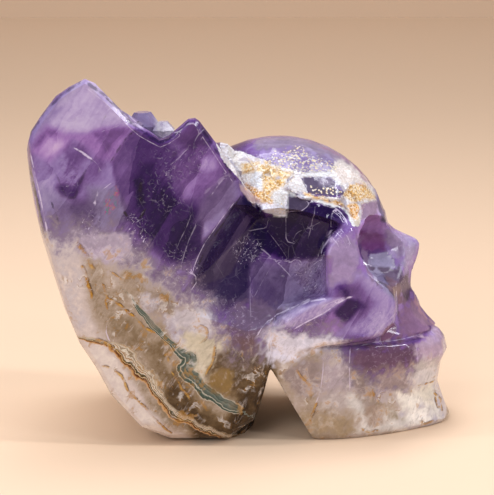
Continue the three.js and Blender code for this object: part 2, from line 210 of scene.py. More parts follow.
# How deep the violet is, from 0, nearly clear, to 1, nearly black. Each row: depth, softness in mm, outline.
violetZones = [
    (0.45, 6, [(-75, 60), (-75, 120), (75, 120), (75, 20), (-5, 30), (-30, 60)]),
    (0.14, 1.2, [(-62, 97), (-46, 114), (-30, 98), (-42, 96.5), (-50, 95)]),
    (0.3, 1.4, [(-64, 92), (-63, 97), (-57, 104), (-54, 103), (-58, 98), (-60, 92)]),
    # Painted reflection: the top-right bevel of the left tip, painted pale.
    (0.06, 0.6, [(-45.8, 110.1), (-33.2, 98.4), (-32.2, 96.8), (-30, 97.5), (-43.5, 112.5)]),
    (0.42, 1.2, shapes["paleTop"]),
    (0.18, 1.2, [(-61, 90), (-57.5, 95), (-52, 93.5), (-56, 88.5), (-60, 86)]),
    (0.56, 0.9, [(-45, 95.5), (-34, 97), (-40.5, 90)]),
    (0.42, 0.6, [(-57, 88.5), (-52.3, 92.5), (-50, 95.5), (-45.3, 92), (-43, 88.5), (-46, 86),
        (-48.5, 80.5), (-51, 76), (-54.3, 77.5), (-56.5, 82.5)]),
    (0.52, 0.8, [(-53, 91), (-50.5, 93.5), (-46, 91), (-45.3, 88), (-49.5, 86.3), (-52.4, 88.3)]),
    (0.84, 1.2, [(-56, 80), (-53.5, 81), (-50, 79.5), (-47.6, 82.5), (-49.9, 76), (-54.3, 76.5)]),
    (0.4, 1.6, [(-60, 79), (-50, 76), (-44, 84), (-37, 87), (-35, 74), (-43, 66), (-55, 65), (-60, 68)]),
    (0.62, 2, [(-52, 74), (-46, 77), (-42.5, 73), (-45, 67), (-50, 68)]),
    (0.3, 1.4, [(-63, 92), (-60, 92), (-57, 86), (-55, 77), (-59, 70), (-62, 80)]),
    (0.62, 0.4, [(-32, 98), (-25.7, 94), (-20, 91), (-21.4, 79), (-18, 66), (-28, 66), (-35, 70),
        (-38.9, 87)]),
    (0.8, 1.6, [(-30.7, 86.5), (-26.5, 87), (-22, 80), (-22, 72), (-24, 62), (-31, 66), (-32.3, 74)]),
    (0.93, 0.7, [(-32, 82), (-29.4, 83), (-29.6, 73.5), (-31.8, 74)]),
    (0.66, 1, shapes["smallTip"]),
    (0.9, 2.2, [(-26, 78), (-17, 76), (-11, 71), (-12, 60), (-20, 56), (-28, 62)]),
    (0.46, 1.6, shapes["rightCrystal"]),
    (0.3, 1, [(-14, 89), (-8.5, 89), (-8, 85), (-13, 84)]),
    (0.42, 1.4, shapes["rightFlank"]),
    (0.32, 0.7, [(-3.5, 75), (-6.5, 73.5), (-12, 68.5), (-12.6, 63)]),
    (0.72, 0.4, shapes["darkWedge"]),
    (0.74, 1.6, [(-13.3, 57.2), (-11.5, 60.9), (-6.7, 67.5), (-4, 66), (-5, 53.3), (-6, 46), (-9, 46)]),
    (0.93, 0.8, [(-1, 77), (4, 72.5), (6.5, 68.5), (12.4, 69.5), (12.4, 76), (20, 74), (27, 71.5),
        (31, 69.5), (25.5, 63.5), (23.3, 56), (16.7, 55), (12.4, 55.3), (5.2, 59), (1.6, 64.5)]),
    (0.76, 0.4, shapes["templeWindow"]),
    (0.84, 1.2, [(18, 72), (27, 71.5), (30, 69), (24, 62), (20, 63)]),
    (0.38, 1.2, [(1.5, 56), (12.4, 55), (17.3, 55), (24, 56), (24, 46), (18.4, 44), (10.6, 39), (5, 36),
        (1.8, 40)]),
    (0.5, 1, [(1.6, 50), (6, 53), (9, 47), (6, 40), (1.8, 41)]),
    (0.55, 2, shapes["underNeck"]),
    (0.2, 1.2, [(-1, 86), (8, 92), (22, 92), (34, 87), (42, 76), (36, 72), (20, 80), (5, 80)]),
    (0.36, 1.2, [(6, 89), (17, 88.6), (27, 85), (20, 83.5), (8, 85)]),
    (0.14, 0.6, shapes["mauveFacet"]),
    (0.22, 0.8, shapes["eyeSocket"]),
    (0.55, 0.8, [(33.9, 61.5), (43, 60), (43.4, 55.5), (39.4, 55), (35.6, 56.5)]),
    # Painted reflection: the socket's facet, painted pale.
    (-0.1, 0.4, [(37.2, 54.6), (43.7, 54.3), (47, 50.3), (44.2, 49.5), (39.3, 51.2)]),
    (0.3, 0.6, [(39.3, 50.6), (47.2, 49.6), (49, 43.5), (46, 43), (42, 47)]),
    (0.3, 1, [(44, 63), (50, 60), (56, 56), (52, 43), (48, 45), (47.3, 52), (43.7, 57)]),
    (0.38, 1, [(47.5, 45), (51, 44), (53, 39.5), (60, 33), (58, 30), (47, 29.5), (46.7, 35)]),
    (0.34, 1, shapes["cheek"]),
    (0.2, 1.4, [(24.3, 50), (31.4, 54), (38.5, 52), (45, 45.5), (47, 36), (41, 32.5), (31.6, 34),
        (27, 42)]),
    (0.47, 3.2, [(25.4, 46.6), (29.9, 50.5), (35, 50.9), (38.1, 47.7), (39.3, 43.9), (36.4, 39),
        (31.6, 36.1), (26.2, 35.6), (23.1, 38.3)]),
    (0.56, 1.6, [(26.8, 48.5), (31, 50), (34.5, 49), (37, 45.5), (36.4, 42.4), (32.7, 38.6), (29.6, 37.2),
        (25.3, 36), (21.9, 36), (21.6, 38.6), (25.9, 41.1), (29.6, 44)]),
    (0.9, 0.9, [(28.1, 49), (30.5, 48), (31.4, 45.5), (34.8, 44.2), (35.7, 42.7), (33.3, 41.7),
        (31.4, 38.6), (29.9, 37.9), (28.1, 39.2), (27.1, 41.1), (30.2, 44.2), (29.6, 46.1)]),
    (1, 0.5, shapes["cheekDeep"]),
    (0.46, 0.9, shapes["cheekFoot"]),
    (0.18, 0.6, [(5, 36.5), (9, 38.6), (16.5, 43), (24, 45.6), (31.5, 46), (25, 42), (15, 36.5)]),
    (0.56, 1.2, [(30, 29.5), (38.6, 29.3), (47, 29.2), (58, 29.5), (66, 28), (64, 22), (51.4, 21),
        (43, 19.5), (35.5, 21.5)]),
    (0.04, 1.2, [(53, 28.5), (60, 30), (66, 28), (65, 21), (54, 20)]),
]

# Rose and plum tints, and the grey smokiness, over the same quartz.
roseZones = [
    (0.8, 1.6, shapes["paleTop"]),
    (0.35, 2, shapes["rightCrystal"]),
    (0.6, 1.5, shapes["smallTip"]),
    (0.5, 2, shapes["underNeck"]),
    (0.5, 1, shapes["mauveFacet"]),
    (0.75, 1, shapes["eyeSocket"]),
    (0.5, 1.5, [(44, 63), (50, 60), (56, 56), (52, 43), (58, 30), (47, 29.5), (47.3, 52), (43.7, 57)]),
    (0.6, 1, shapes["cheek"]),
    (0.7, 1, shapes["cheekFoot"]),
    (1, 2, [(30, 29.5), (38.6, 29.3), (47, 29.2), (58, 29.5), (66, 28), (64, 20), (51.4, 19), (43, 18),
        (35.5, 20)]),
]
smokeZones = [
    # Painted shade: the grey band that the top-left bevel's refraction gives, painted as smokiness.
    (0.4, 1.2, [(-65, 92), (-64, 97), (-58, 106), (-47, 113), (-47, 109), (-55, 102.5), (-60, 96)]),
    (0.6, 2.5, [(-60, 81), (-50, 75), (-42, 78), (-35, 74), (-40, 66), (-55, 65), (-60, 68)]),
    (0.8, 2, [(-46, 80), (-38, 80), (-34, 70), (-44, 66)]),
    (0.5, 2.5, [(-20, 72), (-10, 70), (-11, 56), (-22, 54)]),
    (0.6, 2, shapes["rightFlank"]),
    (1, 0.5, shapes["darkWedge"]),
    (0.75, 2, [(6.5, 68.5), (12.4, 76), (31, 69.5), (25.5, 63.5), (23.3, 56), (12.4, 55.3)]),
    (1, 0.5, shapes["templeWindow"]),
    (0.7, 2, [(1.5, 56), (12.4, 55), (24, 56), (24, 46), (10.6, 39), (5, 36), (1.8, 40)]),
    (0.75, 2, [(-1, 86), (8, 91), (22, 91), (34, 86), (42, 76), (36, 72), (20, 80), (5, 80)]),
    # Greys the socket's facet and the part under it; the facet's paleness is a painted reflection.
    (0.95, 0.6, [(37.2, 54.6), (43.7, 54.3), (47, 50.3), (49, 43.5), (46, 43), (42, 47), (39.3, 51.2)]),
]

# Milkiness inside the quartz, and broken quartz full of tiny fractures.
milkZones = [
    (0.45, 3, [(-66, 66), (-50, 65), (-46, 56), (-46, 44), (-45, 36), (-60, 34)]),
    (0.6, 2.6, [(5, 35.5), (10.5, 36.5), (15.6, 36), (22, 34.8), (30, 34), (32, 29.5), (24, 29.3), (18, 26),
        (10.6, 25), (7, 29)]),
    (0.6, 1.5, [(-32, 47), (-29.4, 49), (-25, 46), (-21.7, 40), (-16.3, 42.5), (-10.4, 40.5), (-12, 35),
        (-17.6, 36.5), (-21.7, 39), (-27.7, 38), (-30.6, 42)]),
    (0.95, 2, [(-24, 38), (-18, 43), (-11, 41), (-9, 35), (-12, 31), (-18, 30), (-22, 34)]),
    (0.7, 1.2, [(53.3, 22), (66, 25), (66, 2), (60, -1), (54.6, -1), (48, 1), (46.3, 6), (52.8, 11)]),
    (0.4, 1, [(44, 63), (50, 60), (56, 56), (54, 49), (49, 52)]),
]
brokenZones = [
    (0.12, 2, [(23, 38.3), (25.4, 46.6), (29.9, 50.5), (35, 50.9), (38.1, 47.7), (39.3, 43.9), (36.4, 39),
        (31.6, 36.1)]),
    (1, 2, [(-50, 70), (-45, 73), (-41, 67), (-43, 62), (-49, 64)]),
    (1, 2, [(-36, 71), (-31, 73), (-28, 68), (-28, 60), (-33, 58), (-37, 64)]),
    (0.8, 2, [(-24, 62), (-15, 62), (-13, 54), (-16, 48), (-26, 50)]),
    (0.7, 2.5, [(-16, 50), (-8, 46), (0, 44), (6, 36), (0, 32), (-12, 38)]),
    (1, 1, [(-4, 62), (1, 64), (6, 60), (4, 55), (-2, 54)]),
    (1, 1, [(14, 55.5), (24, 57), (24, 46), (18, 44), (15, 50)]),
    (0.7, 1.5, [(-26, 90), (-20, 92), (-12, 92), (-10, 86), (-16, 82), (-26, 80)]),
    (0.5, 1.5, [(-28, 82), (-20, 80), (-17, 74), (-24, 72), (-30, 76)]),
    (0.6, 1.2, [(-55, 88), (-50, 88), (-48, 80), (-53, 78)]),
    (0.8, 1.2, [(6, 36), (12, 40), (24, 45), (26, 42), (22, 37), (15, 34)]),
    (0.6, 1.5, [(38, 42), (45, 41), (46, 36), (41, 32.5), (33, 33), (33, 36)]),
    (0.7, 1.2, [(47, 62), (55, 57), (52, 44), (48.5, 48), (48.5, 54)]),
    (0.5, 1.2, [(37, 29), (50, 29), (58, 27), (52, 20), (36, 20)]),
]

# Each of them with its level where no zone lies, and its level behind the near face.
quartzZones = {
    "violet": (0.5, 0.5, violetZones),
    "rose": (0, 0.12, roseZones),
    "smoke": (0.15, 0.2, smokeZones),
    "milk": (0, 0, milkZones),
    "broken": (0.1, 0.3, brokenZones),
}

# How brown the chalcedony is, from 0, cream, to 1, nearly black.
brownZones = [
    (0.5, 4, [(-60, 60), (-30, 56), (-12, 42), (6, 32), (10, -5), (-40, -5), (-66, 40)]),
    (0.16, 2.5, [(-62, 66), (-50, 65), (-47.5, 55), (-47, 45), (-44, 38), (-41, 31), (-47, 28), (-60, 40)]),
    (0.08, 1.6, [(-47, 33), (-42, 30.5), (-38, 28), (-34.5, 23), (-32, 18), (-29, 12), (-24, 7), (-18, 2),
        (-14, -3), (-40, -3), (-54, 24)]),
    (0.38, 2, [(-44, 58), (-38, 57), (-36, 50), (-42, 48)]),
    (0.62, 1.5, [(-28, 48), (-21.6, 47), (-20, 44), (-23, 41), (-27.6, 42)]),
    (0.6, 1.5, [(-40, 40), (-35.4, 41), (-31, 36.5), (-30, 32), (-33, 30), (-38.5, 34.5)]),
    (0.7, 2, [(-30, 31), (-25, 33), (-21.8, 26.6), (-17.7, 19.4), (-19.5, 16), (-24.3, 19), (-28.4, 25)]),
    (0.45, 1, [(-24, 27), (-21, 30), (-20.5, 25.5), (-22.5, 23)]),
    (0.3, 1.2, [(-14.5, 37), (-10, 35), (-9.5, 30), (-13, 25.5), (-15.5, 29), (-18, 31)]),
    (0.8, 2, [(-8, 30), (-3, 28), (-1, 22), (-2, 15), (-9, 18), (-12, 22)]),
    (0.88, 2, [(-22, 20), (-16.5, 17), (-13.5, 12), (-6, 9), (4, 9), (4, -3), (-12, -3), (-18, 7),
        (-25.5, 13)]),
    (0.84, 2, [(-2, 32), (9, 30), (9, 8), (0, 4), (-2, 16)]),
    (0.97, 2, [(0, 20), (9, 22), (9, -2), (-6, 0), (-4, 10)]),
    (0.84, 2, [(-4, 33), (6, 33), (9, 27), (8, 20), (-1, 20), (-6, 27)]),
    (0.35, 3, [(9, 34), (20, 28), (50, 20), (56, 8), (50, -3), (16, -3)]),
    (0.46, 1.5, [(12, 22), (17, 15), (20, -3), (31, 0), (33, 9), (26, 13.5), (20, 13), (16, 19)]),
    (0.52, 0.5, [(14, 24), (20, 28.4), (23.2, 28), (23.8, 22), (23, 16.4), (21, 12.6), (16.5, 16)]),
    (0.56, 1.2, [(34, 20), (40, 20), (41, 11), (38, 6), (34, 10)]),
    (-0.1, 1.5, [(50, 22), (66, 25), (66, 2), (60, -1), (52, -1), (48, 1), (46.3, 6), (52.8, 11)]),
]

# Agate bands: the line that each follows, the green one's half width at each height, and how many times
# narrower than at the top the rust ones are at each height.
greenBand = [
    (-33.2, 45), (-32, 43.4), (-29.4, 40.3), (-27.3, 37.4), (-25, 34.8), (-22.4, 32.4), (-20.3, 30.6),
    (-18.6, 29.1), (-16.3, 28.2), (-16.4, 26.4), (-18, 24.4), (-16.5, 22.3), (-14.4, 20), (-12.3, 17.4),
    (-9.3, 15.6), (-6.3, 13.4), (-2.5, 11.4)]
greenWidth = [
    (10, 1.2), (13, 1.9), (17, 2.1), (21, 1.9), (25, 2), (28, 2.1), (30.5, 1.2), (34, 0.8), (37, 0.9),
    (42, 0.8), (44, 0.5), (45, 0.3)]
rustBand = [
    (-50, 38), (-46.2, 36.5), (-43.9, 33.3), (-40.5, 31.3), (-37.4, 29.4), (-35, 26.2), (-33, 23.6),
    (-30.9, 21.9), (-28.8, 19.2), (-27.6, 17), (-25.8, 14.8), (-23.3, 12.1), (-20.8, 9.5), (-14.2, 5.3),
    (-8.2, 2.6), (-4, 0.8)]
rustSqueeze = [(10, 1.7), (28, 1)]
rustEnds = (32, 36)  # mm, z, where the rust bands stop

# Ochre and rust strokes. Each row: half width in mm, strength, line.
rustLines = [
    (1.2, 0.85, [(-49, 62.7), (-47.6, 60.3), (-45.8, 57.2), (-45, 55.4)]),
    (1.1, 1, [(-48.2, 55.4), (-47.4, 53.3), (-46.8, 51.8)]),
    (0.6, 1, [(-47.4, 53.3), (-46.5, 50.8), (-45.4, 46.9)]),
    (0.5, 1, [(-42.3, 49.9), (-40.8, 46.3), (-37.1, 44), (-33.4, 41), (-29.7, 37.1), (-27.4, 36)]),
    (0.35, 0.85, [(-41.3, 46.3), (-41, 43.2)]),
    (0.4, 0.7, [(-39.4, 54.2), (-37.9, 52.7), (-37, 52.1)]),
    (0.65, 0.8, [(-43.9, 33.4), (-40.9, 31.8), (-37.9, 29.7), (-36.2, 26.9)]),
    (0.5, 0.9, [(-42.5, 25.4), (-39.8, 24.2), (-36.8, 22.4), (-35.6, 20.9), (-34.4, 17.6), (-31.4, 13.9),
        (-28, 10.5), (-25.8, 7.7), (-22.7, 4.2)]),
    (0.5, 0.9, [(-23.6, 28.9), (-22.9, 27.3), (-22.2, 26.2)]),
    (0.4, 0.8, [(-21.6, 22.8), (-20.2, 20.8), (-18.9, 18.3), (-17, 15.6)]),
    (0.35, 0.6, [(-14.6, 36.5), (-13.4, 37.7), (-11.6, 36.5), (-11.6, 34), (-13.4, 32.8)]),
    (0.45, 0.75, [(-8.6, 31.8), (-9, 29.7), (-9.5, 27.2), (-9.9, 25.2), (-11.6, 22.6)]),
    (0.4, 0.9, [(60, 9.4), (61.4, 7.2), (62.9, 4.5), (62.3, 2.9), (60.6, 4.5), (60.3, 7.6)]),
    (0.35, 0.9, [(54.4, 13.6), (57.1, 13.5), (60.1, 12.9)]),
    (0.5, 0.9, [(39.2, 14.8), (40.1, 13), (41.1, 11.2)]),
    (0.5, 0.8, [(36.5, 3.3), (38.7, 1.7), (40.9, 1.7)]),
    (0.5, 0.8, [(53.8, 2.5), (55.5, 1.2), (58, 1.4)]),
    (0.5, 0.7, [(16, 23), (17.5, 20.5), (20, 18)]),
    (0.5, 0.8, [(22, 12), (21, 9), (20, 7)]),
]

# Bright fractures and painted highlights, then dark seams and painted shade, in rows of the same kind.
glints = [
    # The first two rows are painted highlights along the bevelled rims of the two tips.
    (0.12, 0.5, [(-45.4, 108.5), (-41.3, 105.3), (-37.1, 101.3), (-34, 97.8), (-30.9, 95), (-27.8, 93.2),
        (-24.8, 91.6), (-22.3, 92.6), (-19, 94.9)]),
    (0.11, 0.5, [(-14.3, 97.5), (-12.5, 94.9), (-10.8, 92.3), (-8.4, 88.7), (-6.4, 85.5), (-3.8, 81.7)]),
    (0.14, 0.4, [(23.7, 26.2), (23.6, 22.5), (23.3, 19.6), (22.9, 16), (21.8, 12.8)]),
    (0.14, 0.45, [(31.8, 28.6), (31.6, 24), (31.8, 20), (31.9, 16.6)]),
    (0.26, 0.75, [(-49.4, 91.1), (-47.6, 90.2), (-45.9, 88.7), (-44.7, 88.1)]),
    (0.1, 0.3, [(-44.4, 87.8), (-43, 86.3), (-42.4, 84.9)]),
    (0.32, 0.68, [(-43.1, 78.3), (-43.8, 76.5), (-44.1, 75)]),
    (0.11, 0.6, [(-41.1, 79.5), (-39.6, 80.7), (-38.4, 81.3)]),
    (0.13, 0.34, [(-41.6, 99), (-40.1, 102), (-39.5, 103.1)]),
    (0.11, 0.3, [(-41.4, 96.4), (-39.3, 97), (-37, 97.9)]),
    (0.13, 0.34, [(-21.9, 86.3), (-19, 88.7), (-17.2, 90.8)]),
    (0.22, 0.38, [(-6.7, 81.9), (-8.2, 79.8), (-9.3, 78)]),
    (0.29, 0.19, [(-11.4, 78.3), (-8.5, 81), (-5.5, 83.4)]),
    (0.1, 0.56, [(-3.2, 75), (-6.7, 70.5), (-9.1, 66.9), (-11.8, 63), (-13.6, 59.4), (-14.5, 57.2),
        (-15.4, 54.8)]),
    (0.1, 0.26, [(-15.9, 71.1), (-17.3, 67.5), (-19.1, 63.9), (-20.6, 60.3)]),
    (0.12, 0.26, [(-14.4, 68.4), (-16.5, 63.9), (-18, 59.4), (-18.9, 56)]),
    (0.14, 0.6, [(-16.3, 53.9), (-14.5, 53.3), (-14.5, 50.6), (-16.3, 48.1)]),
    (0.1, 0.22, [(6.1, 65.3), (8.5, 62.3), (11.2, 58.6), (13.3, 55.2)]),
    (0.1, 0.22, [(1.6, 64.7), (4, 65.1), (6.4, 65.3), (7, 67.2)]),
    (0.1, 0.34, [(12.3, 74.7), (12.3, 70.4), (12.4, 62.2), (13, 61), (14.5, 60.6)]),
    (0.1, 0.45, [(12.9, 70.3), (16.5, 71.1), (18.6, 72.4), (19.2, 73.4), (17.3, 74.8), (14.7, 75.2),
        (12.9, 74.7)]),
    (0.14, 0.52, [(12.6, 75.3), (14.1, 75.8), (16.5, 75.4), (20.1, 74), (25.5, 71.9)]),
    (0.13, 0.26, [(21, 72.5), (20.7, 69.8), (19.9, 65.1), (19.3, 62.7)]),
    (0.1, 0.22, [(14.5, 61.6), (15.4, 63.4), (16.6, 64.3), (19.6, 65.2), (22.6, 66.9)]),
    (0.14, 0.68, [(25.5, 71.7), (26.7, 71.9), (28.9, 70), (30.3, 68.2), (30.5, 67.5)]),
    (0.11, 0.68, [(26.7, 70.4), (28.5, 69.1), (29.3, 67.8)]),
    (0.11, 0.6, [(26.7, 71.3), (25.8, 69.4), (25.9, 66.4)]),
    (0.16, 0.38, [(25.9, 64.4), (24.9, 62.6), (23.1, 59.8), (22.1, 56.5)]),
    (0.14, 0.45, [(12.4, 55.2), (13.6, 54.6), (15.4, 55.8), (16.7, 55.1), (17.6, 53.6), (19.1, 54.8),
        (20.6, 53.8), (22.1, 55), (23.3, 55.4), (23.6, 58.5)]),
    (0.11, 0.3, [(3.4, 57.1), (5.2, 56.4), (9.1, 55.9), (12.7, 54.9)]),
    (0.13, 0.38, [(5.5, 58.8), (7.6, 56.9), (10.6, 54.1), (13.6, 50.9)]),
    (0.1, 0.26, [(1.6, 50.6), (1.6, 44.3), (1.8, 39.4)]),
    (0.1, 0.22, [(7, 52.2), (5.2, 49.3), (3.1, 45.6)]),
    # This row and the next two are painted highlights on the cheek's arch.
    (0.16, 0.64, [(3.9, 35.2), (5.1, 37), (6.9, 38.7), (10.6, 40.1), (15.1, 42.3), (19.5, 44.4),
        (23.9, 45.4)]),
    (0.22, 0.75, [(15.3, 36.5), (19.5, 38.9), (23.1, 40.8), (26.9, 43.5), (30, 45.2), (31.5, 45.7)]),
    (0.1, 0.45, [(21.9, 42.4), (25.4, 44.3), (29, 45.6), (30.5, 46.1)]),
    (0.14, 0.52, [(46.1, 46.4), (46.6, 41.5), (46.7, 37.6)]),
    (0.12, 0.25, [(41.2, 30), (42, 34.7), (44.4, 36.2), (46.7, 33.2), (46.3, 32.2), (44.4, 30.5),
        (41.5, 29.7)]),
    (0.29, 0.34, [(38.6, 32.9), (41.6, 36.7), (45.7, 39.9)]),
    # A painted highlight along the upper edge of the mouth's groove.
    (0.13, 0.45, [(35.6, 29.5), (39.6, 29.9), (46, 29.6), (51.6, 29.7), (57.7, 30.1)]),
    # A painted highlight along the edge of the socket's facet.
    (0.18, 0.68, [(44, 54.6), (45.5, 52.9), (46.9, 50.3), (45.1, 49.9)]),
    # This row and the next two are painted highlights on the cheekbone.
    (0.11, 0.6, [(27.5, 64.7), (29, 63.5), (30.2, 61.1)]),
    (0.11, 0.6, [(29, 65.4), (30.5, 64), (31.4, 61.9)]),
    (0.1, 0.45, [(26, 63.5), (27.5, 62), (28.4, 60)]),
    # A painted highlight along the bevel beside the second peak.
    (0.18, 0.45, [(-21, 95.6), (-18.9, 96.3), (-16.6, 98.4), (-15.1, 98.7), (-13.7, 97.8)]),
    (0.12, 0.38, [(-12.2, 96.6), (-13.4, 95.5), (-14.5, 93.7), (-15.1, 92)]),
    (0.13, 0.26, [(52.6, 27.6), (53.2, 23.6), (53.1, 19.4)]),
    # A painted highlight along the bevel of the left edge.
    (0.2, 0.7, [(-62.7, 89.2), (-61.8, 84.8), (-60.5, 78.3), (-59.4, 72.3), (-58.4, 66.9)]),
    (0.15, 0.5, [(-41.1, 38.9), (-41.4, 35.8), (-40.6, 33.4)]),
]
seamsAndShade = [
    # This row and the next are painted shade along the bevelled rims of the two tips.
    (0.45, 0.6, [(-45.2, 110), (-41.1, 106.9), (-36.6, 102.7), (-33.6, 99.2), (-30.5, 96.4), (-27.7, 94.6),
        (-24.8, 92.9), (-22.5, 93.9), (-19.5, 96), (-16.6, 98.6)]),
    (0.4, 0.6, [(-13.4, 98.2), (-11.6, 95.6), (-9.9, 93), (-7.5, 89.4), (-5.5, 86.2), (-2.9, 82.4)]),
    (0.9, 0.9, [(-63.6, 84.8), (-62.4, 80), (-61.2, 75.1), (-60.2, 69.1), (-59.5, 64.1), (-58.5, 58.6),
        (-57, 53)]),
    # Painted shade along the top-left rim.
    (0.35, 0.5, [(-62.8, 95.4), (-58.3, 101.8), (-53.2, 106.9), (-47.9, 110.6)]),
    (0.3, 0.6, [(-32.1, 96.5), (-34.1, 94.9), (-37.1, 90.8), (-38.9, 87.8)]),
    (0.35, 0.4, [(-44.7, 87.8), (-46.9, 84.3), (-48.7, 80.4), (-49.9, 76.8), (-52, 76.5)]),
    (0.25, 0.3, [(-56.2, 85.4), (-54.8, 82.5), (-53.7, 79.5), (-52.6, 77.1)]),
    (0.3, 0.7, [(-56.7, 74.7), (-55.6, 71.7), (-54.5, 67.5)]),
    (0.25, 0.4, [(-41.9, 98.2), (-41.3, 99.6), (-40.4, 101.1)]),
    (0.35, 0.8, [(-35.3, 72), (-34.1, 69.9), (-32.4, 69.3), (-30.9, 70.5), (-29.4, 72.9)]),
    (0.5, 0.7, [(-30.5, 80.7), (-30.8, 77.4), (-30.5, 74.4)]),
    (0.22, 0.6, [(-1.4, 76.7), (-5.2, 70.6), (-10.9, 62.4), (-13.5, 56.8)]),
    # Painted shade in the mouth's groove.
    (0.28, 0.35, [(30.3, 28.7), (37.4, 29), (46.8, 29), (52.1, 29.2), (57.6, 29.3)]),
    (0.25, 0.8, [(47.3, 51.9), (47.5, 49.9), (45, 49.2), (42.9, 49.4)]),
    (0.3, 0.6, [(39.2, 50.2), (41.8, 49.3), (46.5, 43.5), (47.4, 35.2), (48.2, 30.8)]),
    (0.25, 0.5, [(51.4, 44.6), (51, 42.7), (48.8, 41.6)]),
    (0.3, 0.5, [(23.3, 28.4), (23.9, 22.2), (23.1, 16.4), (21.3, 12.6)]),
]

# A fracture thin enough to split the light into colours.
rainbow = [
    (-41.7, 74.4), (-40.2, 78.3), (-37.8, 80.4), (-36.7, 78.3), (-37.6, 74.4), (-39.7, 71.1), (-41.5, 71.7)]

# Natural crust on the near side of the crown. Each row: how much of it there is, softness in mm, outline.
crustZones = [
    (0.95, 0.4, [(-9, 93.5), (-1.5, 87), (5, 85.5), (12, 83), (17, 82.3), (26, 82), (28, 84), (34, 84),
        (40, 78), (41, 72), (36.5, 71), (34.2, 66), (32, 66.5), (30.2, 71.5), (22, 74.8), (12.8, 77),
        (12.2, 69.2), (9.2, 70.1), (7, 71), (5.4, 72.6), (2, 74.5), (-1.3, 81.5), (-6.5, 87.5)]),
    (0.5, 1.5, [(5.2, 86.5), (15.6, 88), (23, 86.5), (28.5, 84), (29, 81), (16.5, 82), (12.4, 82.6),
        (6.4, 84)]),
    (0.3, 0.4, [(16.8, 80.7), (26, 80.2), (28.1, 78.4), (30.2, 75.8), (28.6, 74.4), (24, 75), (18.9, 76)]),
]
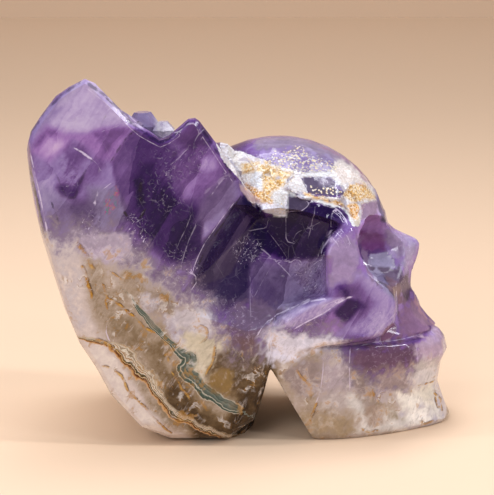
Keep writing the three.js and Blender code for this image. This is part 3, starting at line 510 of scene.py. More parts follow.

# Parts with a colour of their own: crust facets, the eye socket, the nose, the jaw's milky blocks. Some rows,
# as marked, hold painted shade and painted reflections. Each row: colour, softness in mm, outline.
tints = {
    "dome": ("#85778F", 1.5, [(3, 87), (10.7, 87.6), (18.3, 87.4), (25.9, 84.6), (32, 80.6), (36, 80),
        (40, 76), (42, 78), (36, 90), (20, 98), (4, 95)]),
    "domeRim": ("#9C6C92", 1.2, [(20, 89.8), (26.5, 86.6), (30, 84.3), (32.6, 81.8), (34.4, 79.2),
        (36.4, 76), (41, 76), (40, 84), (30, 92), (20, 93)]),
    "whiteLeft": ("#CAC7C4", 0.35, [(-5.1, 89.5), (-2.7, 87), (-1.5, 86.2), (-2, 86), (-0.8, 85.1),
        (-1.4, 82.9), (-2.6, 84.5), (-4.1, 86.6), (-5, 86.5)]),
    "tanPatch": ("#C3A97C", 0.5, [(-1.1, 85.4), (1.6, 84.8), (3.1, 83.9), (3.4, 82.6), (1.5, 82.5),
        (-0.8, 82.6)]),
    "pinkRim": ("#AC949A", 0.35, [(-1.4, 80.5), (-0.2, 79), (1.5, 77.1), (3.9, 75.1), (6.3, 73.5),
        (5.1, 72.3), (2.7, 74.2), (0.4, 76.5), (-1.4, 78.5)]),
    "yellowUpper": ("#DCC48E", 1, [(4, 84.4), (7, 84.3), (10.6, 82.6), (14.2, 81.7), (12.3, 80.2),
        (9.3, 80.5), (5.7, 81.5), (3.4, 82.6)]),
    "yellowMain": ("#D9B878", 0.6, [(5.1, 81.6), (7.5, 80.4), (10.5, 80), (12.6, 80.5), (11.7, 78.3),
        (8.7, 77.3), (6.9, 75.7), (5.4, 77.8), (5.4, 79.4)]),
    "whiteMid": ("#CFCFD0", 0.5, [(8.1, 77.3), (11.7, 77.7), (12.6, 76.4), (12.3, 70.4), (11.2, 68.7),
        (8.8, 69), (8.1, 73.2), (8.1, 75.7)]),
    "greyFacet": ("#D4D9E0", 0.3, [(-1.1, 82.3), (5.1, 82.2), (5.4, 79.4), (5.1, 78.1), (6.9, 75.7),
        (6.3, 74.6), (3.9, 77.2), (1.5, 78.8), (-0.5, 80)]),
    "orangeStreak": ("#EBA348", 0.3, [(0.1, 79), (1.2, 78.4), (3.6, 76.9), (5.1, 75.4), (4.5, 74.5),
        (2.4, 76.2), (0.4, 78.7)]),
    "orangeUp": ("#E0A550", 0.3, [(6.3, 76.5), (7.5, 75.7), (8.1, 73.5), (7.8, 71.1), (6.9, 71.6),
        (6.9, 74)]),
    "whiteByGrey": ("#CCCBCE", 0.45, [(12.9, 79.3), (16.5, 81), (17.7, 78.3), (18.3, 76.6), (15.3, 77.3),
        (12.9, 78.1)]),
    "whiteUpRight": ("#DAD2CD", 0.6, [(27.2, 84), (29.8, 83.5), (32.9, 81.5), (35.9, 78.8), (39.1, 75.2),
        (41, 72.2), (40.9, 71), (35.5, 72.5), (37.6, 74.2), (35.8, 76.8), (31.9, 78), (28.7, 78),
        (27.5, 80.3), (26.9, 81.9)]),
    "yellowRight": ("#DDBB7E", 0.7, [(31.9, 77.5), (37.1, 76.4), (39.9, 72), (35.5, 72.7), (31.7, 73),
        (30.2, 74.8)]),
    "whiteTopRim": ("#D8DADE", 0.3, [(14.1, 81.2), (20.2, 81.8), (26.9, 81.4), (28.1, 79.7), (29.3, 78),
        (28, 77.6), (26.6, 79.8), (25.1, 80.4), (17.7, 80.9), (15.9, 80.5)]),
    "greyCrystal": ("#5A5068", 0.3, [(17.1, 80.7), (25.7, 80.1), (26.9, 79), (27.7, 77.6), (25.6, 77.5),
        (30.2, 75.8), (29.2, 75.1), (25.5, 75.1), (20.1, 76), (18.3, 77.2), (17.7, 78.8)]),
    "greyLight": ("#8A8096", 0.5, [(22, 80.1), (25.7, 79.9), (27.1, 78.2), (24.4, 77.6), (22.3, 78.5)]),
    "orangeUnder": ("#E2B268", 0.3, [(17.4, 76.7), (21.3, 75.4), (26.1, 73.9), (30.4, 72.2), (31.6, 71.2),
        (30.4, 71.6), (26.1, 73), (21.3, 74.5), (17.7, 75.9)]),
    "whiteBand": ("#DDE1E6", 0.25, [(10.5, 77.5), (13.5, 76.9), (18.3, 75.6), (23.1, 74.1), (26.7, 72.7),
        (29.8, 71.6), (31.6, 69.8), (32.4, 67.7), (33.6, 66.3), (32.7, 66.5), (31.5, 67.6), (30.7, 69.5),
        (28.9, 71.4), (25.5, 72.2), (21.3, 73.6), (16.5, 75.4), (12.9, 76.1), (10.5, 76.6)]),
    "orangeTri": ("#E0A04A", 0.5, [(31.4, 72.2), (33.9, 71.8), (34.4, 69.7), (33.4, 68), (31.9, 68.7),
        (31.3, 70.7)]),
    "whiteUnder": ("#BCB2A4", 0.3, [(31.9, 68.5), (33.4, 67.8), (35.1, 68.5), (34.9, 67.2), (33.6, 66),
        (32.4, 67.5)]),
    "mauveFacet": ("#A088A3", 0.3, [(35.1, 72), (40.6, 71.1), (40.4, 67.9), (34.9, 67.4)]),
    "socketUp": ("#AB81C0", 0.4, [(33.9, 65.7), (35.6, 67.2), (40.7, 67.5), (41.9, 64.4), (43.1, 59.6),
        (39.3, 59.6), (33.9, 62.8)]),
    "socketLow": ("#77447F", 1, [(33.9, 62.8), (43, 59.9), (43.4, 57), (43.7, 54.6), (40, 55.2),
        (36.2, 54.9)]),
    "socketRim": ("#8C7394", 0.4, [(35.6, 56.1), (38.1, 54.7), (38.1, 51.9), (39.2, 49.7), (41, 48.2),
        (38, 50.3), (36.2, 53.7)]),
    # Painted reflection: the socket's facet, painted pale.
    "paintedSocketReflection": ("#AEA6C4", 0.35, [(38.4, 54.1), (43.7, 54.6), (45.5, 52.4), (46.6, 50.3), (44.8, 50.4),
        (38.6, 50.8)]),
    "socketUnder": ("#74647A", 0.4, [(38.6, 50.5), (46.6, 50.3), (47.9, 51.5), (48.7, 49.3), (47.5, 47),
        (44.7, 46.8), (40.5, 50.4), (39.5, 49.2)]),
    # Painted highlight: a bright streak along the facet's edge.
    "paintedFacetHighlight": ("#B7B1C1", 0.15, [(44, 54.6), (44.9, 54.1), (46.4, 52.1), (46.9, 50.1), (46, 50.3),
        (45.5, 52.4)]),
    "brownStrip": ("#7B616E", 0.25, [(42.4, 48.5), (47.2, 47.1), (48.4, 44.6), (47.7, 42.9), (47, 41.4),
        (46.2, 43.6)]),
    "brownStripLow": ("#755772", 0.25, [(46.6, 42.8), (48.8, 41.9), (48.4, 39.8), (47.1, 40)]),
    # Painted shade in the hollow under the nose.
    "paintedNoseShade": ("#4A3A50", 0.7, [(48.3, 45.9), (50.6, 44.7), (51.3, 39.7), (48.8, 39.4), (48.8, 43)]),
    "noseBridge": ("#9E8AAB", 1.2, [(43.3, 62.3), (48.1, 59.8), (50.7, 58.6), (49.8, 54.9), (47.9, 52),
        (46.2, 54.7), (44, 57)]),
    "noseTip": ("#A89ABC", 1.2, [(50.7, 58.6), (54, 57.1), (53.7, 52.4), (49.9, 52.8), (50.6, 44.7),
        (48.7, 49.3), (48.2, 52), (50.1, 55.4)]),
    # Painted shade on the forehead's rim, which faces right.
    "paintedForeheadShade": ("#64586F", 0.4, [(41.6, 70.5), (43.2, 67.1), (43.4, 64.4), (42.2, 64.4), (41.5, 67.7)]),
    "noseColumn": ("#8A688A", 2, [(48.8, 39.7), (52, 39.5), (54.7, 35.3), (57.8, 31.6), (56.3, 29.8),
        (50.9, 29.9), (47.3, 30), (47.4, 36.5)]),
    "noseStreak": ("#93748C", 0.5, [(51.3, 39.7), (54, 36.1), (57.8, 31.6), (55.6, 31.8), (52.5, 35)]),
    "upperLipEdge": ("#A98397", 0.3, [(52.7, 41.3), (54.2, 38.5), (56.1, 34.3), (59.5, 31.1), (60.4, 29.1),
        (57.9, 31.9), (54.6, 35), (52.7, 38.7)]),
    "mouthLoop": ("#785373", 0.35, [(40.9, 30.4), (41.9, 35), (44.4, 37), (46.7, 33.8), (46.3, 31.4),
        (44.4, 29.8), (42.1, 29.4)]),
    "plumRow": ("#664860", 2.2, [(31.8, 28.6), (38.6, 29.3), (47.5, 29.1), (53.3, 27.8), (52.6, 25.6),
        (54, 22.1), (47.5, 21.3), (38.7, 21.2), (32.4, 23.1)]),
    "lipPink": ("#B59CB0", 2, [(53.3, 28.3), (58.2, 29.2), (61.7, 27), (62.2, 23.5), (60.8, 21.6),
        (55.4, 21.1), (52.6, 25.6)]),
    "chin": ("#CCC5C4", 2.4, [(53.3, 22.3), (60.1, 21.9), (60, 14.3), (54.4, 13.6), (51.6, 17.6)]),
    "jawCorner": ("#958480", 1.4, [(11.5, 22.3), (16.6, 25.4), (19.7, 26.6), (22.7, 25.4), (23.7, 19.6),
        (22.2, 15.8), (18.5, 13.3), (15.5, 14.6), (12.7, 19.7)]),
    "jawPaleUp": ("#AA9CA2", 2.6, [(23, 24.1), (30.6, 25.1), (31.9, 21.8), (32, 15.9), (27.7, 15.6),
        (22.8, 15.1), (23.7, 19.6)]),
    "jawPaleLow": ("#B3A6A2", 2.6, [(22.8, 15.1), (32, 15.9), (32, 11.4), (29.6, 8.4), (25.9, 10.6),
        (22.2, 11.9)]),
    "jawBrown": ("#8D7C79", 2.4, [(32.5, 22.5), (37.4, 20.6), (38.8, 15.2), (37.6, 11.4), (33.8, 15.2),
        (32.5, 19.1)]),
    "jawRose": ("#9F8C8C", 2.6, [(40, 20.3), (47.5, 21.3), (50.9, 18.5), (50.4, 13.8), (45.2, 13.5),
        (41.3, 15.5)]),
    "jawWhiteUp": ("#C9C2BC", 1.8, [(32, 14.6), (35.1, 12.4), (37.7, 10.2), (36.4, 7.8), (32.1, 9.5)]),
    "jawWhiteLow": ("#D8D0C8", 1.8, [(35.8, 7.9), (42.7, 7.6), (47.9, 4.2), (51.8, 7.2), (55.8, 7),
        (59.9, 7.1), (62, 1.1), (55.9, 6.4), (48, 0.8), (39.1, 1.3), (34.6, 1.5)]),
    "jawOlive": ("#93826C", 1.8, [(38.9, 11.9), (42.1, 10.8), (46, 7), (49.2, 4.3), (44.7, 5.3),
        (40.2, 8.9)]),
    "jawGreenish": ("#A38D71", 3, [(16, 8.3), (25.9, 9.3), (32.7, 7.5), (34, 1.6), (22.7, 2), (20.5, 1.2)]),
    "chinCream": ("#DAD0C0", 2, [(54.4, 13.6), (59.3, 12.7), (59.9, 8.3), (57.8, 7.1), (53.8, 8.7),
        (51.1, 11.6)]),
    "archCloud": ("#DCD8E6", 2.6, [(5.7, 33.8), (8.1, 36.5), (11.1, 35.2), (16.6, 33.9), (21.4, 33.2),
        (25, 34.4), (26.8, 31.9), (23.2, 30.5), (17.8, 28.5), (13.6, 26.1), (8.2, 25.4), (6.3, 30)]),
    "ochreLow": ("#D3AC6C", 0.5, [(3.3, 77.2), (6.9, 77.3), (7.5, 74), (4.8, 74)]),
    "foreheadSide": ("#7B6C90", 0.5, [(40, 74.5), (41.5, 73.5), (44.5, 65.7), (42, 66.5), (40.8, 69.1),
        (40.5, 71.4)]),
    "noseSide": ("#5E4A64", 0.8, [(46.5, 49.5), (50.9, 48), (52.1, 42.2), (48.4, 42)]),
    "neckBrown": ("#6E5458", 3, [(-3, 36), (3.3, 35.5), (4, 30), (-2, 29)]),
    "jawFold": ("#9E8878", 1.8, [(36.5, 10.5), (42.5, 10), (44, 3), (37.5, 3)]),
    "jawWhiteEnd": ("#EEE6DC", 1.4, [(50, 8), (56.5, 7), (58, 1.5), (50, 1)]),
    "crustUnderside": ("#D3D6E6", 0.4, [(3.6, 73.6), (12.4, 73.4), (12.4, 68.5), (9.4, 69.5), (6.6, 70.6),
        (5, 72)]),
    "templeWindow": ("#463C54", 0.3, [(12.9, 76), (18.5, 74.6), (19.5, 72.9), (17.1, 71.2), (13, 69.9)]),
    "creamLace": ("#C6BAA3", 1.9, [(-18.7, 36.7), (-6.3, 33.7), (-9.3, 28), (-11.9, 21.9), (-15.2, 24),
        (-14.4, 28.4), (-18.7, 31.5)]),
    "whiteCloud": ("#BDB4B8", 2.2, [(-20.8, 42.9), (-11.9, 42.9), (-10.2, 36.8), (-17.8, 36.8),
        (-21.6, 37.7)]),
    "oliveGold": ("#84693F", 1.8, [(-11, 23), (-5, 25), (-2.5, 19), (-6, 16.5), (-11.5, 18.5)]),
    "jawPale": ("#E6DED2", 1.8, [(47, 13), (53, 11), (56, 7), (49, 7)]),
    "cloudLilac": ("#AE9FB2", 2.5, [(-50, 66), (-34, 66), (-33, 58), (-40, 57), (-48, 60)]),
    "cheekbone": ("#9A84A8", 2, [(25.3, 63.8), (33.6, 63.8), (35.1, 56.8), (32, 50.5), (25.3, 49.6)]),
    "cheekDeep": ("#321A4C", 1.6, shapes["cheekDeep"]),
    "mauveHaze": ("#6C5873", 2.5, [(-4, 44), (5, 44), (11, 41), (8, 36.5), (5, 35.5), (-4, 35)]),
}

# Sugary grains scattered over the quartz. Each row: how thickly, softness in mm, outline.
grainZones = [
    (1.15, 0.8, [(5.2, 85.2), (7.6, 85.5), (9.5, 87.4), (13.7, 87.9), (16.9, 88.8), (18.6, 86.8),
        (21.6, 85.6), (25.3, 84.3), (29, 82.8), (28.2, 81.2), (22.6, 81.7), (16.5, 81.8), (11.8, 82.6),
        (7.6, 84.1)]),
    (0.8, 0.5, [(18.3, 78.2), (21.9, 78.5), (25.6, 77.5), (30.8, 75.9), (29.5, 74.8), (25.5, 74.6),
        (20.1, 75.7)]),
    (0.5, 0.5, [(8.1, 77.3), (11.7, 75.6), (12.3, 70.4), (10.6, 69), (8.1, 72.4)]),
]


def segments(line):
    points = np.array(line, float)
    return points[:-1], points[1:]


# Distance in mm from each place to a line, and the side on which the place lies, left being positive.
def lineDistance(places, line):
    best = np.full(len(places), 1e9)
    side = np.ones(len(places))
    for start, end in zip(*segments(line)):
        run = end - start
        offset = places - start
        share = np.clip(offset @ run / (run @ run), 0, 1)
        gap = np.hypot(*(offset - share[:, None] * run).T)
        nearer = gap < best
        best[nearer] = gap[nearer]
        side[nearer] = np.sign(run[0] * offset[nearer, 1] - run[1] * offset[nearer, 0])
    return best, side


# Distance in mm to an outline, positive inside it.
def insideDistance(places, outline):
    closed = outline + outline[:1]
    gap, _ = lineDistance(places, closed)
    inside = np.zeros(len(places), bool)
    for start, end in zip(*segments(closed)):
        spans = (start[1] > places[:, 1]) != (end[1] > places[:, 1])
        with np.errstate(divide="ignore", invalid="ignore"):
            crossing = start[0] + (places[:, 1] - start[1]) * (end[0] - start[0]) / (end[1] - start[1])
        inside ^= spans & (places[:, 0] < crossing)
    return np.where(inside, gap, -gap)


def paintTint(places, rows, ragged):
    tint = np.zeros((len(places), 4))
    for colour, softness, outline in rows:
        gap = insideDistance(places, outline) + ragged * softness
        cover = smoothStep(-softness, softness, gap)[:, None]
        change = np.array(toLinear(colour)[:3]) - tint[:, :3]
        tint[:, :3] += change * np.where(tint[:, 3:] > 0, cover, cover > 0)
        tint[:, 3:] += (1 - tint[:, 3:]) * cover
    return tint


def paint(places, ground, zones):
    field = np.full(len(places), float(ground))
    for amount, softness, outline in zones:
        cover = smoothStep(-softness, softness, insideDistance(places, outline))
        field += (amount - field) * cover
    return field


growth = {
    "seed": 1,
    "wander": 0.8,              # mm, how far the outlines wander, so that no edge is drawn with a ruler
    "wanderSize": 6.0,          # mm
    "drift": 7.0,               # mm, how far the pattern moves by the far side
    "nearFace": -31.6,          # mm, y
    "driftFrom": 14.0,          # mm behind the near face
    "driftOver": 30,            # mm
    "driftWaves": (17, 23, 15, 19),  # mm, slow waves through height and depth, then through length and depth
    "nearEnds": (-12, -2),      # mm, y, where what only the near side shows fades out
    "wildFrom": (-24, -6),      # mm, y, where the slab behind the near face gets a pattern of its own
    "wildTo": (4, 26),          # mm, x
    "topsFoot": (90, 93),       # mm, z, the smoky crystals on the slab's top
    "topsNear": (-20, -16),     # mm, y
    "topsFar": (0, 10),         # mm, y
    "topsRight": (-18, -14),    # mm, x
    "druseLeft": (-28, -26.5),  # mm, x, the pale sugary ones beside them
    "tintEnds": (-5, 5),        # mm, y, which lets the skull's own colours reach its middle
    "skullStarts": (-2, 1),     # mm, x
    "ragged": (2, 0.9, 0.6),    # mm, large and small nicks in the tints' edges, then the small ones' share
    "farAway": 30.0,            # mm, a distance at which no line is drawn
    "offBand": 9,               # half widths that take a place out of the rust band
    "brownGround": 0.45,
}


# Where each point of the skin lies in the pattern, which drifts slowly through the stone's thickness.
def patternPlaces(points):
    size = growth["wanderSize"]
    noise.seed_set(growth["seed"])
    wander = np.array([noise.noise_vector(Vector(p) / size) for p in points])
    depth = np.clip((points[:, 1] - growth["nearFace"] - growth["driftFrom"]) / growth["driftOver"], 0, 2)
    drift = growth["drift"] * depth
    heightWave, depthWave, lengthWave, slowWave = growth["driftWaves"]
    places = points[:, [0, 2]] + growth["wander"] * wander[:, [0, 2]]
    places[:, 0] += drift * np.sin(points[:, 2] / heightWave + points[:, 1] / depthWave)
    places[:, 1] += drift * np.sin(points[:, 0] / lengthWave + points[:, 1] / slowWave)
    return places


def keepField(piece, name, values):
    attribute = piece.data.attributes.new(name, "FLOAT", "POINT")
    attribute.data.foreach_set("value", np.ascontiguousarray(values, np.float32))


# A line is kept as the distance across it, in its own half widths and with a sign, so that a thin one is
# drawn whole.
def keepLines(piece, name, places, rows, hidden):
    near = np.full(len(places), growth["farAway"])
    across = np.full(len(places), growth["farAway"])
    power = np.zeros(len(places))
    for halfWidth, strength, line in rows:
        gap, side = lineDistance(places, line)
        closer = gap < near
        near[closer] = gap[closer]
        across[closer] = (gap * side)[closer] / halfWidth
        power[closer] = strength
    keepField(piece, name + "Near", near + hidden)
    keepField(piece, name + "Across", across)
    keepField(piece, name + "Power", power)


def crustCover(points):
    cover = paint(points[:, [0, 2]], 0, crustZones)
    return cover * fadeOut(*growth["nearEnds"], points[:, 1])


def growPattern(piece):
    points = pointsOf(piece)
    places = patternPlaces(points)
    plain = points[:, [0, 2]]
    x, y, z = points.T
    nearSide = fadeOut(*growth["nearEnds"], y)
    wild = smoothStep(*growth["wildFrom"], y) * fadeOut(*growth["wildTo"], x)
    tops = smoothStep(*growth["topsFoot"], z) * smoothStep(*growth["topsNear"], y)
    tops = tops * fadeOut(*growth["topsFar"], y) * fadeOut(*growth["topsRight"], x)
    cloudGap, cloudSide = lineDistance(places, cloudLine)
    keepField(piece, "wild", wild)
    keepField(piece, "aboveCloud", cloudGap * cloudSide)
    keepField(piece, "tops", tops)
    keepField(piece, "druse", tops * smoothStep(*growth["druseLeft"], x))
    for name, (ground, behind, zones) in quartzZones.items():
        keepField(piece, name, paint(places, ground, zones) * (1 - wild) + behind * wild)
    keepField(piece, "brown", paint(places, growth["brownGround"], brownZones))

    bandGap, bandSide = lineDistance(places, greenBand)
    widthAt = np.interp(places[:, 1], *zip(*greenWidth))
    keepField(piece, "greenBand", bandGap * bandSide / widthAt)
    rustGap, rustSide = lineDistance(places, rustBand)
    squeeze = np.interp(z, *zip(*rustSqueeze))
    keepField(piece, "rustBand", rustGap * rustSide * squeeze + growth["offBand"] * smoothStep(*rustEnds, z))

    hidden = growth["farAway"] * (1 - nearSide)
    keepLines(piece, "stroke", places, rustLines, 0)
    keepLines(piece, "glint", plain, glints, hidden)
    keepLines(piece, "seamAndShade", plain, seamsAndShade, hidden)
    keepField(piece, "rainbow", insideDistance(plain, rainbow) - hidden)
    keepField(piece, "crust", crustCover(points))

    large, small, share = growth["ragged"]
    nicks = [noise.noise(Vector(p) / large) + share * noise.noise(Vector(p) / small) for p in points]
    tint = paintTint(plain, tints.values(), np.array(nicks))
    further = (fadeOut(*growth["tintEnds"], y) - nearSide) * smoothStep(*growth["skullStarts"], x)
    tint[:, 3] *= nearSide + further
    attribute = piece.data.attributes.new("tint", "FLOAT_COLOR", "POINT")
    attribute.data.foreach_set("color", np.ascontiguousarray(tint.ravel(), np.float32))
    keepField(piece, "grains", paint(plain, 0, grainZones) * nearSide)
    print("pattern grown")


# Polished chevron amethyst: a natural quartz, ground and polished to a wet gloss over clear, milky and
# banded stone. Light sinks into the violet part, and stays on the surface of the milky part, the agate and
# the crust.

quartz = {
    "lean": 0.585,            # radians, how far the crystals lean from upright
    "crystal": (10, 10, 70),  # mm, width, width and length
    "fibre": (1.1, 1.1, 6),   # mm, streaks along the crystals
    "needle": (0.32, 0.32, 1.1),  # mm
    "sway": (7, 7, 7),        # mm
    "slightSway": (2.5, 2.5, 2.5),  # mm
    "swaySize": 9,            # mm
    "noises": {  # each with the space that it lies in, its size in mm, its detail and its roughness
        "mottle": ("swayed", 5, 5, 0.6),
        "fine": ("mm", 1.3, 4, 0.65),
        "uneven": ("mm", 2.2, 3, 0.5),
        "patch": ("mm", 6, 2, 0.5),
        "cloud": ("swayed", 5, 7, 0.66),
        "ripple": ("mm", 5, 3, 0.6),
        "lace": ("swayed", 7, 5, 0.55),
        "dust": ("mm", 1 / 0.9, 4, 0.7),
        "streak": ("fibre", 1, 5, 0.65),
        "needle": ("needle", 1, 2, 0.5),
    },
    "cells": {  # each with its space, its size in mm, and what is read from it
        "crackGap": ("straighter", 8, "DISTANCE_TO_EDGE", "Distance"),
        "netGap": ("swayed", 1.9, "DISTANCE_TO_EDGE", "Distance"),
        "facetTone": ("straighter", 3.2, "F1", "Color"),
        "sugar": ("mm", 0.7, "F1", "Distance"),
        "crumb": ("mm", 0.5, "F1", "Color"),
        "grain": ("mm", 0.75, "F1", "Color"),
    },
    "ior": 1.544,
    "clearness": 0.45,
    "absorption": "#8A6CB8",
    "density": 30,            # per m
    "specular": 0.14,
    "polish": (0.04, 0.09),   # roughness
    "crustRoughness": 0.55,
    "grainHeight": 0.0004,    # m
    # how deep the violet is in each growth band, upwards, then the colours that it takes
    "bands": [(0.0, 0.2), (0.12, 0.3), (0.22, 0.72), (0.3, 0.8), (0.38, 0.38), (0.46, 0.3), (0.56, 0.78),
        (0.66, 0.62), (0.74, 0.88), (0.86, 0.5), (0.95, 0.3)],
    "violet": [(0.0, "#CFC0E0"), (0.15, "#B9A5D4"), (0.3, "#9F84C6"), (0.45, "#8058A6"), (0.6, "#5D3684"),
        (0.75, "#411B68"), (0.88, "#29094E"), (1.0, "#180438")],
    "smoky": [(0.0, "#B6AEC8"), (0.25, "#9086A8"), (0.45, "#716484"), (0.6, "#534468"), (0.75, "#35264E"),
        (0.9, "#1D0E3C"), (1.0, "#12042E")],
    "rosy": [(0.0, "#DABFDA"), (0.2, "#C29CD6"), (0.35, "#B080CC"), (0.5, "#8F60AF"), (0.65, "#6C4784"),
        (0.8, "#442A5A"), (1.0, "#180830")],
    "darkFleck": "#20142B",
    "seamAndShade": "#1A1022",
    "fractureAndHighlight": "#E2D6F0",
    "rainbow": [(0.36, "#4E6FB0"), (0.44, "#4E9A86"), (0.5, "#8C6C8C"), (0.56, "#C0489A"),
        (0.64, "#D08858")],
    "haze": "#927F98",
    "milk": "#DAD2E2",
    "milky": [(0.3, "#8E8292"), (0.5, "#B0A7B0"), (0.7, "#D8D3D3")],
    "chalcedony": [(0.0, "#D8CBC0"), (0.12, "#CABBB4"), (0.25, "#BAAAA2"), (0.4, "#A89686"),
        (0.55, "#8D7A64"), (0.7, "#6E593F"), (0.85, "#4E3B26"), (1.0, "#2E2012")],
    "wisp": "#CFC2BA",
    "green": [(0.0, "#6A543E"), (0.06, "#BFB5A2"), (0.12, "#39433A"), (0.25, "#44554B"), (0.3, "#B9B3A3"),
        (0.35, "#49534A"), (0.5, "#566057"), (0.57, "#6E766B"), (0.62, "#424C43"), (0.78, "#5E675E"),
        (0.86, "#454E45"), (0.91, "#B2AD9B"), (1.0, "#6A543E")],
    "rust": [(0.0, "#C9A98A"), (0.1, "#B5874F"), (0.17, "#6B3D1E"), (0.23, "#4C2614"), (0.27, "#D2B88E"),
        (0.31, "#54401F"), (0.36, "#3F3A2A"), (0.41, "#D6C8B4"), (0.47, "#8A6334"), (0.53, "#D6CDBC"),
        (0.6, "#7A6242"), (0.66, "#D0C6B4"), (0.74, "#A88455"), (0.8, "#C4B9A6"), (0.88, "#7C6848"),
        (1.0, "#8A7556")],
    "plume": "#DDD5CE",
    "ochreLace": "#8E6730",
    "stroke": [(0.35, "#7E5520"), (0.5, "#A9782C"), (0.65, "#C09A50")],
    "strokeEdge": "#4A2E14",
    "stain": "#A87A38",
    "crust": [(0.25, "#A9A4B0"), (0.45, "#C9C7CD"), (0.7, "#E2E0E2")],
    "feather": "#DAD4D2",
    "vein": "#7D6C66",
    "ochreCrumbs": [(0.25, "#8A5A22"), (0.35, "#CF943F"), (0.5, "#E2C184"), (0.62, "#EBDDBE"),
        (0.8, "#F0ECE4")],
    "frost": "#E6E5E4",
    "pit": "#A58C76",
    "grains": [(0.38, "#6D5568"), (0.42, "#E0C68C"), (0.5, "#F0EADC"), (0.6, "#E6D09C"), (0.66, "#B4853F")],
    "druse": "#D0C8D0",
}
fieldNames = (
    "tops", "druse", "wild", "aboveCloud", "violet", "rose", "smoke", "milk", "broken", "brown", "greenBand",
    "rustBand", "rainbow", "crust", "grains")


# Moves a value up and down by a pattern, by at most the reach.
def shifted(add, value, pattern, reach, spread=0.2):
    return add("+", value, add("MapRange", pattern, 0.5 - spread, 0.5 + spread, -reach, reach))


# Moves a value in proportion to a pattern, without a limit.
def stirred(add, value, pattern, amount):
    return add("Math MULTIPLY_ADD", add("-", pattern, 0.5), amount, value)


# How far the lines of one kind cover the stone: thinner and fainter in places, so that none looks ruled.
def lineCover(add, name, uneven):
    across = add("Attribute", attribute_name=name + "Across", out="Fac")
    near = add("Attribute", attribute_name=name + "Near", out="Fac")
    power = add("Attribute", attribute_name=name + "Power", out="Fac")
    across = add("*", add("Math ABSOLUTE", across), add("MapRange", uneven, 0.35, 0.65, 0.7, 1.7))
    line = add("MapRange", across, 1.5, 0.6)
    reach = add("MapRange", near, 1.0, 0.4)
    cover = add("*", line, reach)
    cover = add("*", cover, add("MapRange", uneven, 0.62, 0.48, 0.15, 1))
    return add("*", cover, power)


